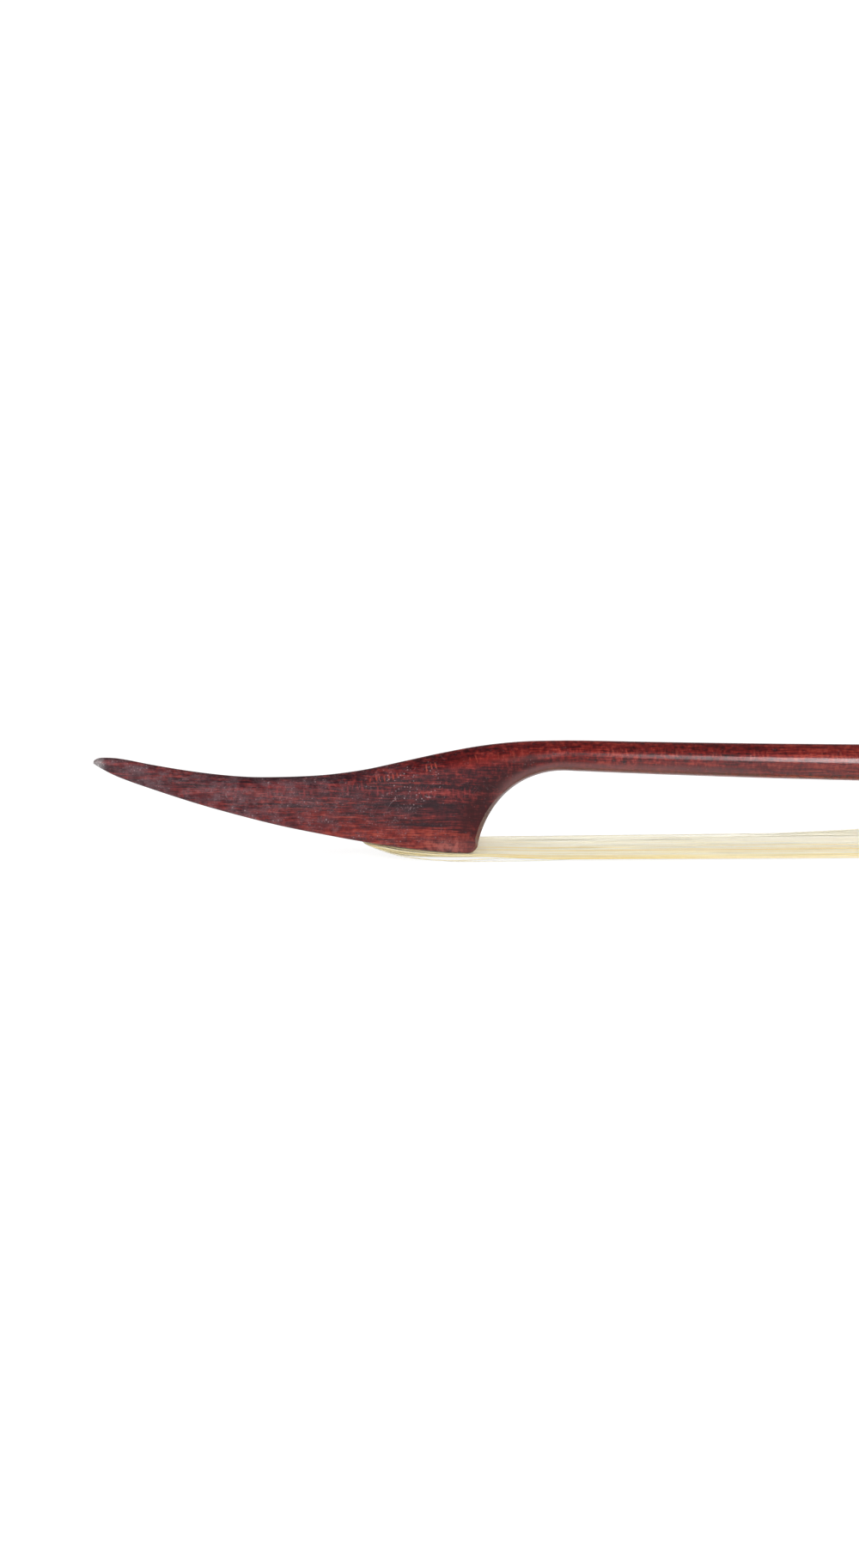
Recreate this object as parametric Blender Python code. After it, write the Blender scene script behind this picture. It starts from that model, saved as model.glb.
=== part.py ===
"""Baroque viola bow: stick with a long pointed head, open frog, screw and horsehair.

The bow lies with its hair down and slack. X runs along it, from the bill of the
head (-X) to the button (+X), Y is its width and Z points up. The origin is at the
middle of the bow's length and width, on the surface that it lies on. Metres.
"""

import math
from collections import namedtuple

import bmesh
import bpy
from mathutils import Vector

# Gap between two pieces that touch
CLEARANCE = 0.0003

# Head, cut in one piece with the stick
HEAD_LENGTH = 0.0688  # bill to heel
HEAD_HEIGHT = 0.0197  # underside of the heel to the top of the neck
HEEL_WIDTH = 0.0090
HEEL_RADIUS = 0.0016
BILL_ROUNDING = 0.0015
BILL_EDGE = 0.0003  # rounding of the bill's long lower edges
THROAT_LENGTH = 0.0160  # heel to neck
THROAT_CHAMFER = 0.0013

# Stick
NECK_DIAMETER = 0.0055
NECK_FALL_DEGREES = 2.52  # slope of the slack stick where it leaves the head
STICK_TAPER = 3.0  # power of the diameter's growth towards the handle
HANDLE_WIDTH = 0.0092  # across the flats
HANDLE_LENGTH = 0.115
FACET_RUN_OUT = 0.012  # where the handle's facets fade into the round stick

# Hair
FREE_HAIR = 0.580  # heel to frog
HAIR_THICKNESS = 0.0010
HAIR_WIDTH_AT_HEAD = 0.0102
HAIR_WIDTH_AT_FROG = 0.0098
HAIR_LOCKS = 9
LOCK_DEPTH = 0.16  # groove between two locks, as a share of half the thickness
BUNDLE_DIAMETER = 0.0021
THREAD_DIAMETER = 0.0004
THREAD_TURNS = 4
KNOT_LENGTH = 0.0034
KNOT_END_SHARE = 0.35  # radius at the knot's ends, as a share of its full radius
KNOT_END_ROOM = 0.0010  # spare length of a mortise past the knot
PLUG_DEPTH = 0.0018  # least depth of a plug

# Mortise in the head
HAIR_EXIT = 0.0214  # heel to the mortise's front wall
HEAD_MORTISE_WIDTH = 0.0050

# Frog
FROG_LENGTH = 0.046
FROG_HEIGHT = 0.0155  # underside to the facet that it slides on
FROG_RAIL = 0.0012  # width of the rail on each side of the hair
FROG_WAIST = 0.0094
FROG_WALL = 0.0010  # between the mortise and the waist
FROG_CHEEK = 0.00055  # how far each cheek stands out past the handle
FROG_CHEEK_RISE = 0.28  # height of the cheeks beside the handle, as a share of its width
FROG_CORNER = 0.0020
FROG_EDGE = 0.0002  # easing of its lower edges
FROG_MORTISE_START = 0.0130  # front of the frog to the mortise's front wall
FROG_TO_STICK_END = 0.010
FROG_TRAVEL = 0.0045

# Screw, eyelet and button
SCREW_DIAMETER = 0.0026
THREAD_PITCH = 0.00075
THREAD_HEIGHT = 0.00028
SCREW_NOSE_LENGTH = 0.006
EYELET_LENGTH = 0.0050
EYELET_WIDTH = 0.0046
EYELET_WALL = 0.0007
EYELET_SHANK_DIAMETER = 0.0028
EYELET_SHANK_DEPTH = 0.0050
EYELET_FROM_FROG_FRONT = 0.0280
SLOT_MARGIN = 0.0020  # spare length of the slot at each end of the eyelet's travel
BUTTON_LENGTH = 0.0185
BUTTON_DIAMETER = 0.0098
BUTTON_BORE_DEPTH = 0.0120

# Fineness
BILL_STATIONS = 17
THROAT_STATIONS = 9
STICK_STATIONS = 26
HAIR_STATIONS = 10
RUN_PLACES = 6  # places along the hair that lies under the wood
PATH_STEPS = 3  # steps from one such place to the next
KNOT_ROWS = 8
TURN_POINTS = 12  # points in one turn of the bound thread
THREAD_STEPS = 3  # rows of points in one pitch of the screw
SCREW_SIDES = 12
TURNED_SIDES = 24

# Heights above the surface that the bow lies on
HEEL_Z = HAIR_THICKNESS + CLEARANCE
NECK_Z = HEEL_Z + HEAD_HEIGHT - NECK_DIAMETER / 2
HANDLE_Z = FROG_HEIGHT + CLEARANCE + HANDLE_WIDTH / 2
CHANNEL_ROOF_Z = HAIR_THICKNESS + 2 * CLEARANCE
FROG_TOP_Z = FROG_HEIGHT + FROG_CHEEK_RISE * HANDLE_WIDTH

# Room for the knot in the deep part of each mortise
WOUND_DIAMETER = BUNDLE_DIAMETER + 2 * CLEARANCE + 2 * THREAD_DIAMETER
KNOT_ROOM = WOUND_DIAMETER + 2 * CLEARANCE
BUNDLE_REACH = (
    2 * HAIR_THICKNESS + BUNDLE_DIAMETER / 2 + 3 * CLEARANCE + (2 * THREAD_TURNS + 1) * THREAD_DIAMETER
)
MORTISE_LENGTH = BUNDLE_REACH + CLEARANCE + KNOT_LENGTH + KNOT_END_ROOM

# Places along the bow
TOTAL_LENGTH = (
    HEAD_LENGTH + FREE_HAIR + FROG_LENGTH + FROG_TO_STICK_END + CLEARANCE + BUTTON_LENGTH
)
BILL_X = -TOTAL_LENGTH / 2
HEEL_X = BILL_X + HEAD_LENGTH
NECK_X = HEEL_X + THROAT_LENGTH
NECK_SLOPE = math.tan(math.radians(NECK_FALL_DEGREES))
FROG_X = HEEL_X + FREE_HAIR
STICK_END_X = FROG_X + FROG_LENGTH + FROG_TO_STICK_END
HANDLE_X = STICK_END_X - HANDLE_LENGTH
EYELET_X = FROG_X + EYELET_FROM_FROG_FRONT
SLOT_START_X = EYELET_X - EYELET_LENGTH / 2 - SLOT_MARGIN
SLOT_END_X = EYELET_X + EYELET_LENGTH / 2 + FROG_TRAVEL + SLOT_MARGIN

# Widths of the frog and its mortise
FROG_CHANNEL = HAIR_WIDTH_AT_FROG + 2 * CLEARANCE
FROG_WIDTH = FROG_CHANNEL + 2 * FROG_RAIL
FROG_TOP_WIDTH = HANDLE_WIDTH + 2 * FROG_CHEEK
FROG_MORTISE_WIDTH = FROG_WAIST - 2 * FROG_WALL

# Side view of the head: shares of its length from the bill, shares of its height
RIDGE = (
    (0.0, 0.870), (0.06, 0.864), (0.165, 0.789), (0.273, 0.722), (0.38, 0.678),
    (0.46, 0.668), (0.595, 0.683), (0.702, 0.730), (0.81, 0.812), (0.917, 0.894),
    (1.02, 0.956), (1.12, 0.989), (1.233, 0.997),
)
UNDERSIDE = (
    (0.0, 0.826), (0.06, 0.713), (0.165, 0.578), (0.273, 0.454), (0.38, 0.347),
    (0.488, 0.251), (0.595, 0.174), (0.702, 0.104), (0.81, 0.048), (0.917, 0.008),
    (1.0, 0.0),
)
# Widths of the head: shares of its length from the bill, shares of the heel's width
UNDERSIDE_WIDTH = ((0.0, 0.24), (0.08, 0.33), (0.31, 0.545), (0.69, 0.835), (1.0, 1.0))
RIDGE_WIDTH = ((0.0, 0.22), (0.08, 0.30), (0.46, 0.42), (0.80, 0.54), (1.0, 0.60))
# How the ridge's points are paired with those under them
RIDGE_PAIRING = ((0.0, 0.0), (0.55, 0.55), (0.8, 0.765), (1.0, 0.89))

# Side view of the frog: shares of its height to the cheeks' top, distances in metres
FROG_FRONT = (
    (0.0, 0.0007), (0.05, 0.0), (0.11, 0.0004), (0.20, 0.0034), (0.32, 0.0078),
    (0.50, 0.0118), (0.70, 0.0132), (0.88, 0.0126), (1.0, 0.0112),
)
FROG_REAR = (
    (0.0, 0.0006), (0.06, 0.0), (0.30, 0.0006), (0.60, 0.0022), (0.85, 0.0046), (1.0, 0.0050),
)
FROG_LEVELS = (
    0.0, 0.02, 0.05, 0.09, 0.13, 0.18, 0.24, 0.31, 0.38, 0.46, 0.54, 0.62, 0.71, 0.80, 0.90, 1.0,
)

# Profile of the button: shares of its length from the stick, shares of its radius
BUTTON_PROFILE = (
    (0.0, 0.86), (0.03, 0.95), (0.10, 0.98), (0.16, 0.94), (0.19, 0.80), (0.23, 0.78),
    (0.27, 0.88), (0.36, 0.97), (0.46, 1.0), (0.56, 0.97), (0.66, 0.87), (0.73, 0.72),
    (0.77, 0.56), (0.80, 0.46), (0.83, 0.44), (0.86, 0.47), (0.90, 0.50), (0.94, 0.46),
    (0.98, 0.30), (0.995, 0.20), (1.0, 0.06),
)


# Small helpers for shapes

def lerp(a, b, t):
    return a + (b - a) * t


def smooth_step(t):
    t = min(max(t, 0.0), 1.0)
    return t * t * (3 - 2 * t)


def smooth_curve(points):
    """Return y(x) of a smooth curve through points, with x rising from one to the next."""
    slopes = []
    for i in range(len(points)):
        before, after = points[max(i - 1, 0)], points[min(i + 1, len(points) - 1)]
        slopes.append((after[1] - before[1]) / (after[0] - before[0]))

    def value(x):
        x = min(max(x, points[0][0]), points[-1][0])
        i = 0
        while i < len(points) - 2 and x > points[i + 1][0]:
            i += 1
        (x0, y0), (x1, y1) = points[i], points[i + 1]
        span = x1 - x0
        t = (x - x0) / span
        return (
            (2 * t**3 - 3 * t**2 + 1) * y0 + (t**3 - 2 * t**2 + t) * span * slopes[i]
            + (3 * t**2 - 2 * t**3) * y1 + (t**3 - t**2) * span * slopes[i + 1]
        )

    return value


def smooth_path(points, steps):
    """Return a smooth path through (x, z) points, with steps places from one to the next."""
    path = []
    for i in range(len(points) - 1):
        a, b, c, d = (Vector(points[min(max(k, 0), len(points) - 1)]) for k in range(i - 1, i + 3))
        for step in range(steps):
            t = step / steps
            path.append(0.5 * (2 * b + (c - a) * t + (2 * a - 5 * b + 4 * c - d) * t * t
                               + (3 * b - a - 3 * c + d) * t**3))
    path.append(Vector(points[-1]))
    return path


def material(name, color, roughness, metallic=0.0):
    made = bpy.data.materials.new(name)
    made.use_nodes = True
    shader = made.node_tree.nodes["Principled BSDF"]
    shader.inputs["Base Color"].default_value = (*color, 1.0)
    shader.inputs["Roughness"].default_value = roughness
    shader.inputs["Metallic"].default_value = metallic
    made.diffuse_color = (*color, 1.0)
    return made


def add_object(name, mesh, finish, parent):
    """Add a mesh whose points are in the bow's frame, with its origin at its parent's."""
    made = bpy.data.objects.new(name, mesh)
    bpy.context.scene.collection.objects.link(made)
    made.data.materials.append(finish)
    made.parent = parent
    made.data.transform(parent.matrix_basis.inverted())
    return made


def mesh_from(name, points, faces):
    mesh = bpy.data.meshes.new(name)
    mesh.from_pydata([tuple(p) for p in points], [], faces)
    shaped = bmesh.new()
    shaped.from_mesh(mesh)
    bmesh.ops.recalc_face_normals(shaped, faces=shaped.faces)
    shaped.to_mesh(mesh)
    shaped.free()
    mesh.shade_smooth()
    mesh.set_sharp_from_angle(angle=math.radians(35))
    return mesh


def loft(name, rings):
    """Join rings of as many points into one closed skin, with a flat cap at each end."""
    count = len(rings[0])
    points = [p for ring in rings for p in ring]
    faces = []
    for r in range(len(rings) - 1):
        for i in range(count):
            j = (i + 1) % count
            faces.append((r * count + i, r * count + j, (r + 1) * count + j, (r + 1) * count + i))
    faces.append(tuple(reversed(range(count))))
    last = (len(rings) - 1) * count
    faces.append(tuple(last + i for i in range(count)))
    return mesh_from(name, points, faces)


def turned(name, profile, axis_z, sides):
    """Turn a profile of (x, radius) places about the line along X at height axis_z."""
    turns = [math.tau * i / sides for i in range(sides)]
    rings = []
    for x, radius in profile:
        rings.append([
            Vector((x, radius * math.cos(turn), axis_z + radius * math.sin(turn))) for turn in turns
        ])
    return loft(name, rings)


def box_mesh(name, low, high):
    """A box from its lowest corner to its highest."""
    (x0, y0, z0), (x1, y1, z1) = low, high
    rings = [
        [Vector((x0, y0, z)), Vector((x1, y0, z)), Vector((x1, y1, z)), Vector((x0, y1, z))]
        for z in (z0, z1)
    ]
    return loft(name, rings)


def combine(target, name, mesh, operation="DIFFERENCE"):
    """Cut mesh out of the target, or join it on, with a Boolean that keeps a hidden tool."""
    tool = bpy.data.objects.new(name, mesh)
    bpy.context.scene.collection.objects.link(tool)
    tool.hide_render = True
    tool.display_type = "WIRE"
    step = target.modifiers.new(name, "BOOLEAN")
    step.operation = operation
    step.solver = "EXACT"
    step.object = tool
    return tool


def empty(name, place, parent=None):
    made = bpy.data.objects.new(name, None)
    bpy.context.scene.collection.objects.link(made)
    made.location = place
    made.parent = parent
    return made


# Stick and head

def octagon_reach(angle):
    """Distance from the axis to a unit octagon's side, whose flats face Y and Z."""
    off_flat = (angle + math.pi / 8) % (math.pi / 4) - math.pi / 8
    return 1 / math.cos(off_flat)


# Angles of the points on half a ring of the stick, from its underside to its top
HALF_RING_ROUND = [math.radians(-90 + 15 * i) for i in range(13)]
HALF_RING_FACETED = [
    math.radians(a) for a in (-90, -78.75, -67.5, -45, -22.5, -11.25, 0, 11.25, 22.5, 45, 67.5, 78.75, 90)
]


def whole_ring(half, place):
    """Mirror half a ring of (y, height) places in Y, and set each in the bow's frame."""
    mirrored = [(-y, h) for y, h in reversed(half[1:-1])]
    return [place(y, h) for y, h in half + mirrored]


def stick_axis(x):
    """Height of the slack stick's axis: level in the handle, falling away from the head."""
    run = HANDLE_X - NECK_X
    t = min(max((x - NECK_X) / run, 0.0), 1.0)
    return (
        (2 * t**3 - 3 * t**2 + 1) * NECK_Z + (t**3 - 2 * t**2 + t) * run * -NECK_SLOPE
        + (3 * t**2 - 2 * t**3) * HANDLE_Z
    )


def stick_radius(x):
    t = min(max((x - NECK_X) / (HANDLE_X - NECK_X), 0.0), 1.0)
    return lerp(HANDLE_WIDTH, NECK_DIAMETER, (1 - t) ** STICK_TAPER) / 2


def stick_ring(x, faceted):
    radius, axis = stick_radius(x), stick_axis(x)
    half = []
    for plain, corner in zip(HALF_RING_ROUND, HALF_RING_FACETED):
        angle = lerp(plain, corner, faceted)
        reach = radius * lerp(1.0, octagon_reach(angle), faceted)
        half.append((reach * math.cos(angle), reach * math.sin(angle)))
    half[0], half[-1] = (0.0, half[0][1]), (0.0, half[-1][1])
    return whole_ring(half, lambda y, h: Vector((x, y, axis + h)))


ridge_height = smooth_curve(RIDGE)
underside_height = smooth_curve(UNDERSIDE)
underside_width = smooth_curve(UNDERSIDE_WIDTH)
ridge_width = smooth_curve(RIDGE_WIDTH)
ridge_pairing = smooth_curve(RIDGE_PAIRING)


def head_underside(x):
    """Height of the head's underside, level past the heel."""
    return HEEL_Z + HEAD_HEIGHT * underside_height((x - BILL_X) / HEAD_LENGTH)


def head_ridge(share):
    x = BILL_X + HEAD_LENGTH * share
    return Vector((x, HEEL_Z + HEAD_HEIGHT * ridge_height(share)))


def head_ring(base, top, half_base, half_top, edge, roundness):
    """A section of the head in the tilted plane from base to top, both (x, z) places.

    Its form goes from the head's, flat below with flared cheeks and a domed top, to
    the neck's circle as roundness goes from 0 to 1.
    """
    up = (top - base).normalized()
    height = (top - base).length
    dome = min(half_top, 0.5 * height)
    edge = min(edge, 0.3 * height, 0.6 * half_base)
    half = [(0.0, 0.0), (0.55 * (half_base - edge), 0.0), (half_base - edge, 0.0), (half_base, edge)]
    for share in (0.2, 0.4, 0.6, 0.8):
        half.append((
            lerp(half_top, half_base, (1 - share) ** 1.4), lerp(edge, height - dome, share),
        ))
    for angle in (0, 22.5, 45, 67.5, 90):
        turn = math.radians(angle)
        half.append((half_top * math.cos(turn), height - dome + dome * math.sin(turn)))
    blended = []
    for (y, h), angle in zip(half, HALF_RING_ROUND):
        blended.append((
            lerp(y, height / 2 * math.cos(angle), roundness),
            lerp(h, height / 2 * (1 + math.sin(angle)), roundness),
        ))
    blended[0], blended[-1] = (0.0, blended[0][1]), (0.0, blended[-1][1])

    def place(y, h):
        spot = base + up * h
        return Vector((spot.x, y, spot.y))

    return whole_ring(blended, place)


def bill_rings():
    """Sections from the rounded end of the bill to the start of the heel's corner."""
    rings = []
    flat = (HEAD_LENGTH - HEEL_RADIUS) / HEAD_LENGTH
    nose = BILL_ROUNDING / HEAD_LENGTH
    shares = [nose * t for t in (0.03, 0.15, 0.4, 0.7)]
    shares += [lerp(nose, flat, (i / BILL_STATIONS) ** 1.15) for i in range(BILL_STATIONS + 1)]
    for share in shares:
        fullness = math.sqrt(max(1 - max(1 - share / nose, 0.0) ** 2, 0.0))
        base = Vector((BILL_X + HEAD_LENGTH * share, HEEL_Z + HEAD_HEIGHT * underside_height(share)))
        top = head_ridge(ridge_pairing(share))
        top = lerp(base, top, fullness)
        spread = HEEL_WIDTH / 2 * lerp(0.35, 1.0, fullness)
        rings.append(head_ring(
            base, top, spread * underside_width(share), spread * ridge_width(share), BILL_EDGE, 0.0,
        ))
    return rings


def throat_rings():
    """Sections round the heel's corner and up the throat to the neck."""
    neck_radius = NECK_DIAMETER / 2
    neck_base = Vector((NECK_X, stick_axis(NECK_X) - neck_radius))
    first = ridge_pairing(1.0)
    last = 1 + THROAT_LENGTH / HEAD_LENGTH
    rings = []
    for turn in (30, 60, 90):
        angle = math.radians(turn)
        base = Vector((
            HEEL_X - HEEL_RADIUS * (1 - math.sin(angle)), HEEL_Z + HEEL_RADIUS * (1 - math.cos(angle)),
        ))
        top = head_ridge(lerp(first, first + 0.01, turn / 90))
        edge = lerp(BILL_EDGE, THROAT_CHAMFER, turn / 90)
        rings.append(head_ring(base, top, HEEL_WIDTH / 2, HEEL_WIDTH / 2 * ridge_width(1.0), edge, 0.0))
    start = Vector((HEEL_X, HEEL_Z + HEEL_RADIUS))
    rise = neck_base.y - start.y
    bend_a = start + Vector((THROAT_LENGTH * 0.083, rise * 0.46))
    bend_b = neck_base + Vector((-THROAT_LENGTH * 0.60, THROAT_LENGTH * 0.60 * NECK_SLOPE))
    for i in range(1, THROAT_STATIONS + 1):
        t = i / THROAT_STATIONS
        base = (start * (1 - t) ** 3 + bend_a * 3 * t * (1 - t) ** 2
                + bend_b * 3 * t * t * (1 - t) + neck_base * t**3)
        top = head_ridge(lerp(first + 0.01, last, smooth_step(t) * 0.5 + t * 0.5))
        narrowing = smooth_step(t**0.8)
        half_base = lerp(HEEL_WIDTH / 2, neck_radius, narrowing)
        half_top = lerp(HEEL_WIDTH / 2 * ridge_width(1.0), neck_radius, t)
        rings.append(head_ring(base, top, half_base, half_top, THROAT_CHAMFER, smooth_step(t)))
    return rings


def make_stick(finish, parent):
    rings = bill_rings() + throat_rings()
    run = HANDLE_X - FACET_RUN_OUT - NECK_X
    for i in range(1, STICK_STATIONS + 1):
        rings.append(stick_ring(NECK_X + run * i / STICK_STATIONS, 0.0))
    for share in (0.35, 0.7, 1.0):
        rings.append(stick_ring(HANDLE_X - FACET_RUN_OUT * (1 - share), smooth_step(share)))
    rings.append(stick_ring(STICK_END_X, 1.0))
    stick = add_object("stick", loft("stick", rings), finish, parent)

    cut_mortise(stick, "head_mortise_cutter", HEAD_MORTISE)
    slot_half = EYELET_WIDTH / 2 + CLEARANCE
    slot_roof = HANDLE_Z + SCREW_DIAMETER / 2 + CLEARANCE + EYELET_WALL + CLEARANCE
    combine(stick, "eyelet_slot_cutter", box_mesh(
        "eyelet_slot_cutter",
        (SLOT_START_X, -slot_half, HANDLE_Z - HANDLE_WIDTH),
        (SLOT_END_X, slot_half, slot_roof),
    ))
    bore_start = SLOT_START_X - SCREW_NOSE_LENGTH - CLEARANCE
    bore_radius = SCREW_DIAMETER / 2 + CLEARANCE
    combine(stick, "screw_bore_cutter", turned(
        "screw_bore_cutter",
        ((bore_start, bore_radius), (STICK_END_X + BUTTON_LENGTH, bore_radius)),
        HANDLE_Z, SCREW_SIDES,
    ))
    return stick


# Mortises, and the hair, knots and plugs that fill them

Mortise = namedtuple("Mortise", "wall_x inward mouth_z far_mouth_z roof_z width")


def mortise_from(wall_x, inward, underside, width):
    """A mortise whose hair turns up along the wall at wall_x; inward is +1 or -1 along X."""
    mouth_z = underside(wall_x)
    return Mortise(
        wall_x, inward, mouth_z, underside(wall_x + inward * MORTISE_LENGTH),
        mouth_z + PLUG_DEPTH + CLEARANCE + KNOT_ROOM, width,
    )


HEAD_MORTISE = mortise_from(HEEL_X - HAIR_EXIT, 1, head_underside, HEAD_MORTISE_WIDTH)
FROG_MORTISE = mortise_from(
    FROG_X + FROG_MORTISE_START + MORTISE_LENGTH, -1, lambda x: CHANNEL_ROOF_Z, FROG_MORTISE_WIDTH,
)


def cut_mortise(target, name, mortise):
    ends = sorted((mortise.wall_x, mortise.wall_x + mortise.inward * MORTISE_LENGTH))
    low_z = min(mortise.mouth_z, mortise.far_mouth_z) - HAIR_THICKNESS
    half = mortise.width / 2
    combine(target, name, box_mesh(name, (ends[0], -half, low_z), (ends[1], half, mortise.roof_z)))


def hair_ring(spot, along, width, thickness, gathered):
    """Section of the hair at an (x, z) spot: a flat band of locks, or a round bundle."""
    normal = Vector((-along.y, along.x))
    count = 2 * HAIR_LOCKS
    upper = []
    for i in range(count + 1):
        across = -1 + 2 * i / count
        flat = (1 - abs(across) ** 6) ** 0.5 * (1 - (LOCK_DEPTH if i % 2 == 0 else 0.0))
        round_half = math.sqrt(max(1 - across * across, 0.0))
        upper.append((across * width / 2, lerp(flat, round_half, gathered) * thickness / 2))
    lower = [(y, -n) for y, n in reversed(upper[1:-1])]
    ring = []
    for y, n in upper + lower:
        place = spot + normal * n
        ring.append(Vector((place.x, y, place.y)))
    return ring


def hair_band(name, path, widths, thicknesses, gathered):
    rings = []
    for i, spot in enumerate(path):
        along = (path[min(i + 1, len(path) - 1)] - path[max(i - 1, 0)]).normalized()
        rings.append(hair_ring(spot, along, widths[i], thicknesses[i], gathered[i]))
    return loft(name, rings)


def folded_hair(name, run, run_widths, mortise):
    """Hair that runs under the wood, turns up along a mortise's wall and folds back.

    run is its outer path of (x, z) places, which ends in the mortise's mouth.
    """
    half = HAIR_THICKNESS / 2
    inward = mortise.inward
    axis_z = mortise.roof_z - KNOT_ROOM / 2
    up_x = mortise.wall_x + inward * (CLEARANCE + half)
    fold = [
        (up_x + inward * 0.1 * half, lerp(mortise.mouth_z, axis_z, 0.16)),
        (up_x, lerp(mortise.mouth_z, axis_z, 0.45)),
        (up_x + inward * 0.2 * half, lerp(mortise.mouth_z, axis_z, 0.78)),
        (up_x + inward * 1.7 * half, axis_z),
    ]
    path = smooth_path(run + fold, PATH_STEPS)
    path.append(Vector((mortise.wall_x + inward * BUNDLE_REACH, axis_z)))
    run_steps = (len(run) - 1) * PATH_STEPS
    fold_steps = len(path) - 2 - run_steps
    across = smooth_curve(list(enumerate(run_widths)))
    widths, thicknesses, gathered = [], [], []
    for i in range(len(path)):
        t = smooth_step((i - run_steps) / fold_steps)
        width = across(i / PATH_STEPS) if i <= run_steps else run_widths[-1]
        widths.append(lerp(width, BUNDLE_DIAMETER, t))
        thicknesses.append(lerp(HAIR_THICKNESS, BUNDLE_DIAMETER, t**3))
        gathered.append(t)
    return hair_band(name, path, widths, thicknesses, gathered)


def make_knot(prefix, mortise, finishes, parent):
    """The rosin-set knot at the bundle's end and the thread bound round the bundle."""
    axis_z = mortise.roof_z - KNOT_ROOM / 2
    start = mortise.wall_x + mortise.inward * (BUNDLE_REACH + CLEARANCE)
    profile = []
    for i in range(KNOT_ROWS + 1):
        t = i / KNOT_ROWS
        fullness = math.sqrt(max(1 - (2 * t - 1) ** 2, 0.0))
        radius = WOUND_DIAMETER / 2 * lerp(KNOT_END_SHARE, 1.0, fullness)
        profile.append((start + mortise.inward * KNOT_LENGTH * t, radius))
    name = prefix + "_knot"
    add_object(name, turned(name, profile, axis_z, SCREW_SIDES), finishes["rosin"], parent)

    name = prefix + "_knot_thread"
    coil = bpy.data.curves.new(name, "CURVE")
    coil.dimensions = "3D"
    coil.bevel_depth = THREAD_DIAMETER / 2
    coil.bevel_resolution = 1
    coil.use_fill_caps = True
    line = coil.splines.new("POLY")
    line.points.add(THREAD_TURNS * TURN_POINTS)
    radius = (BUNDLE_DIAMETER + THREAD_DIAMETER) / 2 + CLEARANCE
    coil_start = start - mortise.inward * (CLEARANCE + THREAD_DIAMETER)
    for i, point in enumerate(line.points):
        turn = i / TURN_POINTS
        spot = Vector((
            coil_start - mortise.inward * turn * 2 * THREAD_DIAMETER,
            radius * math.cos(math.tau * turn), axis_z + radius * math.sin(math.tau * turn),
        ))
        point.co = (*(spot - parent.location), 1.0)
    thread = bpy.data.objects.new(name, coil)
    bpy.context.scene.collection.objects.link(thread)
    thread.data.materials.append(finishes["thread"])
    thread.parent = parent


def make_plug(name, mortise, finish, parent):
    """Plug that fills a mortise's mouth behind the hair, with its hair edge eased."""
    inward = mortise.inward
    near = mortise.wall_x + inward * (HAIR_THICKNESS + 2 * CLEARANCE)
    far = mortise.wall_x + inward * (MORTISE_LENGTH - CLEARANCE)
    top = mortise.mouth_z + PLUG_DEPTH
    ease = 0.44 * PLUG_DEPTH
    side = [
        (near + inward * ease, mortise.mouth_z), (near, mortise.mouth_z + ease), (near, top - ease),
        (near + inward * ease, top), (far, top), (far, mortise.far_mouth_z),
    ]
    half = mortise.width / 2 - CLEARANCE
    rings = [[Vector((x, y, z)) for x, z in side] for y in (-half, half)]
    add_object(name, loft(name, rings), finish, parent)


def make_head_hair(finishes, parent):
    wall_x = HEAD_MORTISE.wall_x
    run, widths = [], []
    for i in range(RUN_PLACES):
        t = i / (RUN_PLACES - 1)
        x = lerp(HEEL_X + CLEARANCE, wall_x + 2.4 * HAIR_THICKNESS, t)
        run.append((x, head_underside(x) - CLEARANCE - HAIR_THICKNESS / 2))
        widths.append(lerp(HAIR_WIDTH_AT_HEAD, HEAD_MORTISE_WIDTH + HAIR_THICKNESS, t**2))
    run.append((wall_x + 1.3 * HAIR_THICKNESS, HEAD_MORTISE.mouth_z - CLEARANCE))
    widths.append(HEAD_MORTISE_WIDTH - 2 * CLEARANCE)
    hair = folded_hair("hair_at_head", run, widths, HEAD_MORTISE)
    add_object("hair_at_head", hair, finishes["hair"], parent)
    make_knot("head", HEAD_MORTISE, finishes, parent)
    make_plug("head_plug", HEAD_MORTISE, finishes["plug"], parent)


def make_frog_hair(finishes, parent):
    level = CLEARANCE + HAIR_THICKNESS / 2
    wall_x = FROG_MORTISE.wall_x
    run, widths = [], []
    for i in range(RUN_PLACES):
        t = i / (RUN_PLACES - 1)
        run.append((lerp(FROG_X, wall_x - 2.4 * HAIR_THICKNESS, t), level))
        widths.append(lerp(HAIR_WIDTH_AT_FROG, FROG_MORTISE_WIDTH, t**4))
    run.append((wall_x - 1.3 * HAIR_THICKNESS, level + CLEARANCE))
    widths.append(FROG_MORTISE_WIDTH - 2 * CLEARANCE)
    hair = folded_hair("hair_in_frog", run, widths, FROG_MORTISE)
    add_object("hair_in_frog", hair, finishes["hair"], parent)
    make_knot("frog", FROG_MORTISE, finishes, parent)
    make_plug("frog_plug", FROG_MORTISE, finishes["plug"], parent)


def make_hair_ribbon(finish, parent):
    start = Vector((HEEL_X + 2 * CLEARANCE, HAIR_THICKNESS / 2))
    end = Vector((FROG_X - CLEARANCE, CLEARANCE + HAIR_THICKNESS / 2))
    shares = [i / HAIR_STATIONS for i in range(HAIR_STATIONS + 1)]
    path = [lerp(start, end, share) for share in shares]
    widths = [lerp(HAIR_WIDTH_AT_HEAD, HAIR_WIDTH_AT_FROG, share) for share in shares]
    thicknesses = [HAIR_THICKNESS] * len(shares)
    gathered = [0.0] * len(shares)
    ribbon = hair_band("hair_ribbon", path, widths, thicknesses, gathered)
    add_object("hair_ribbon", ribbon, finish, parent)


# Frog and eyelet

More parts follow.
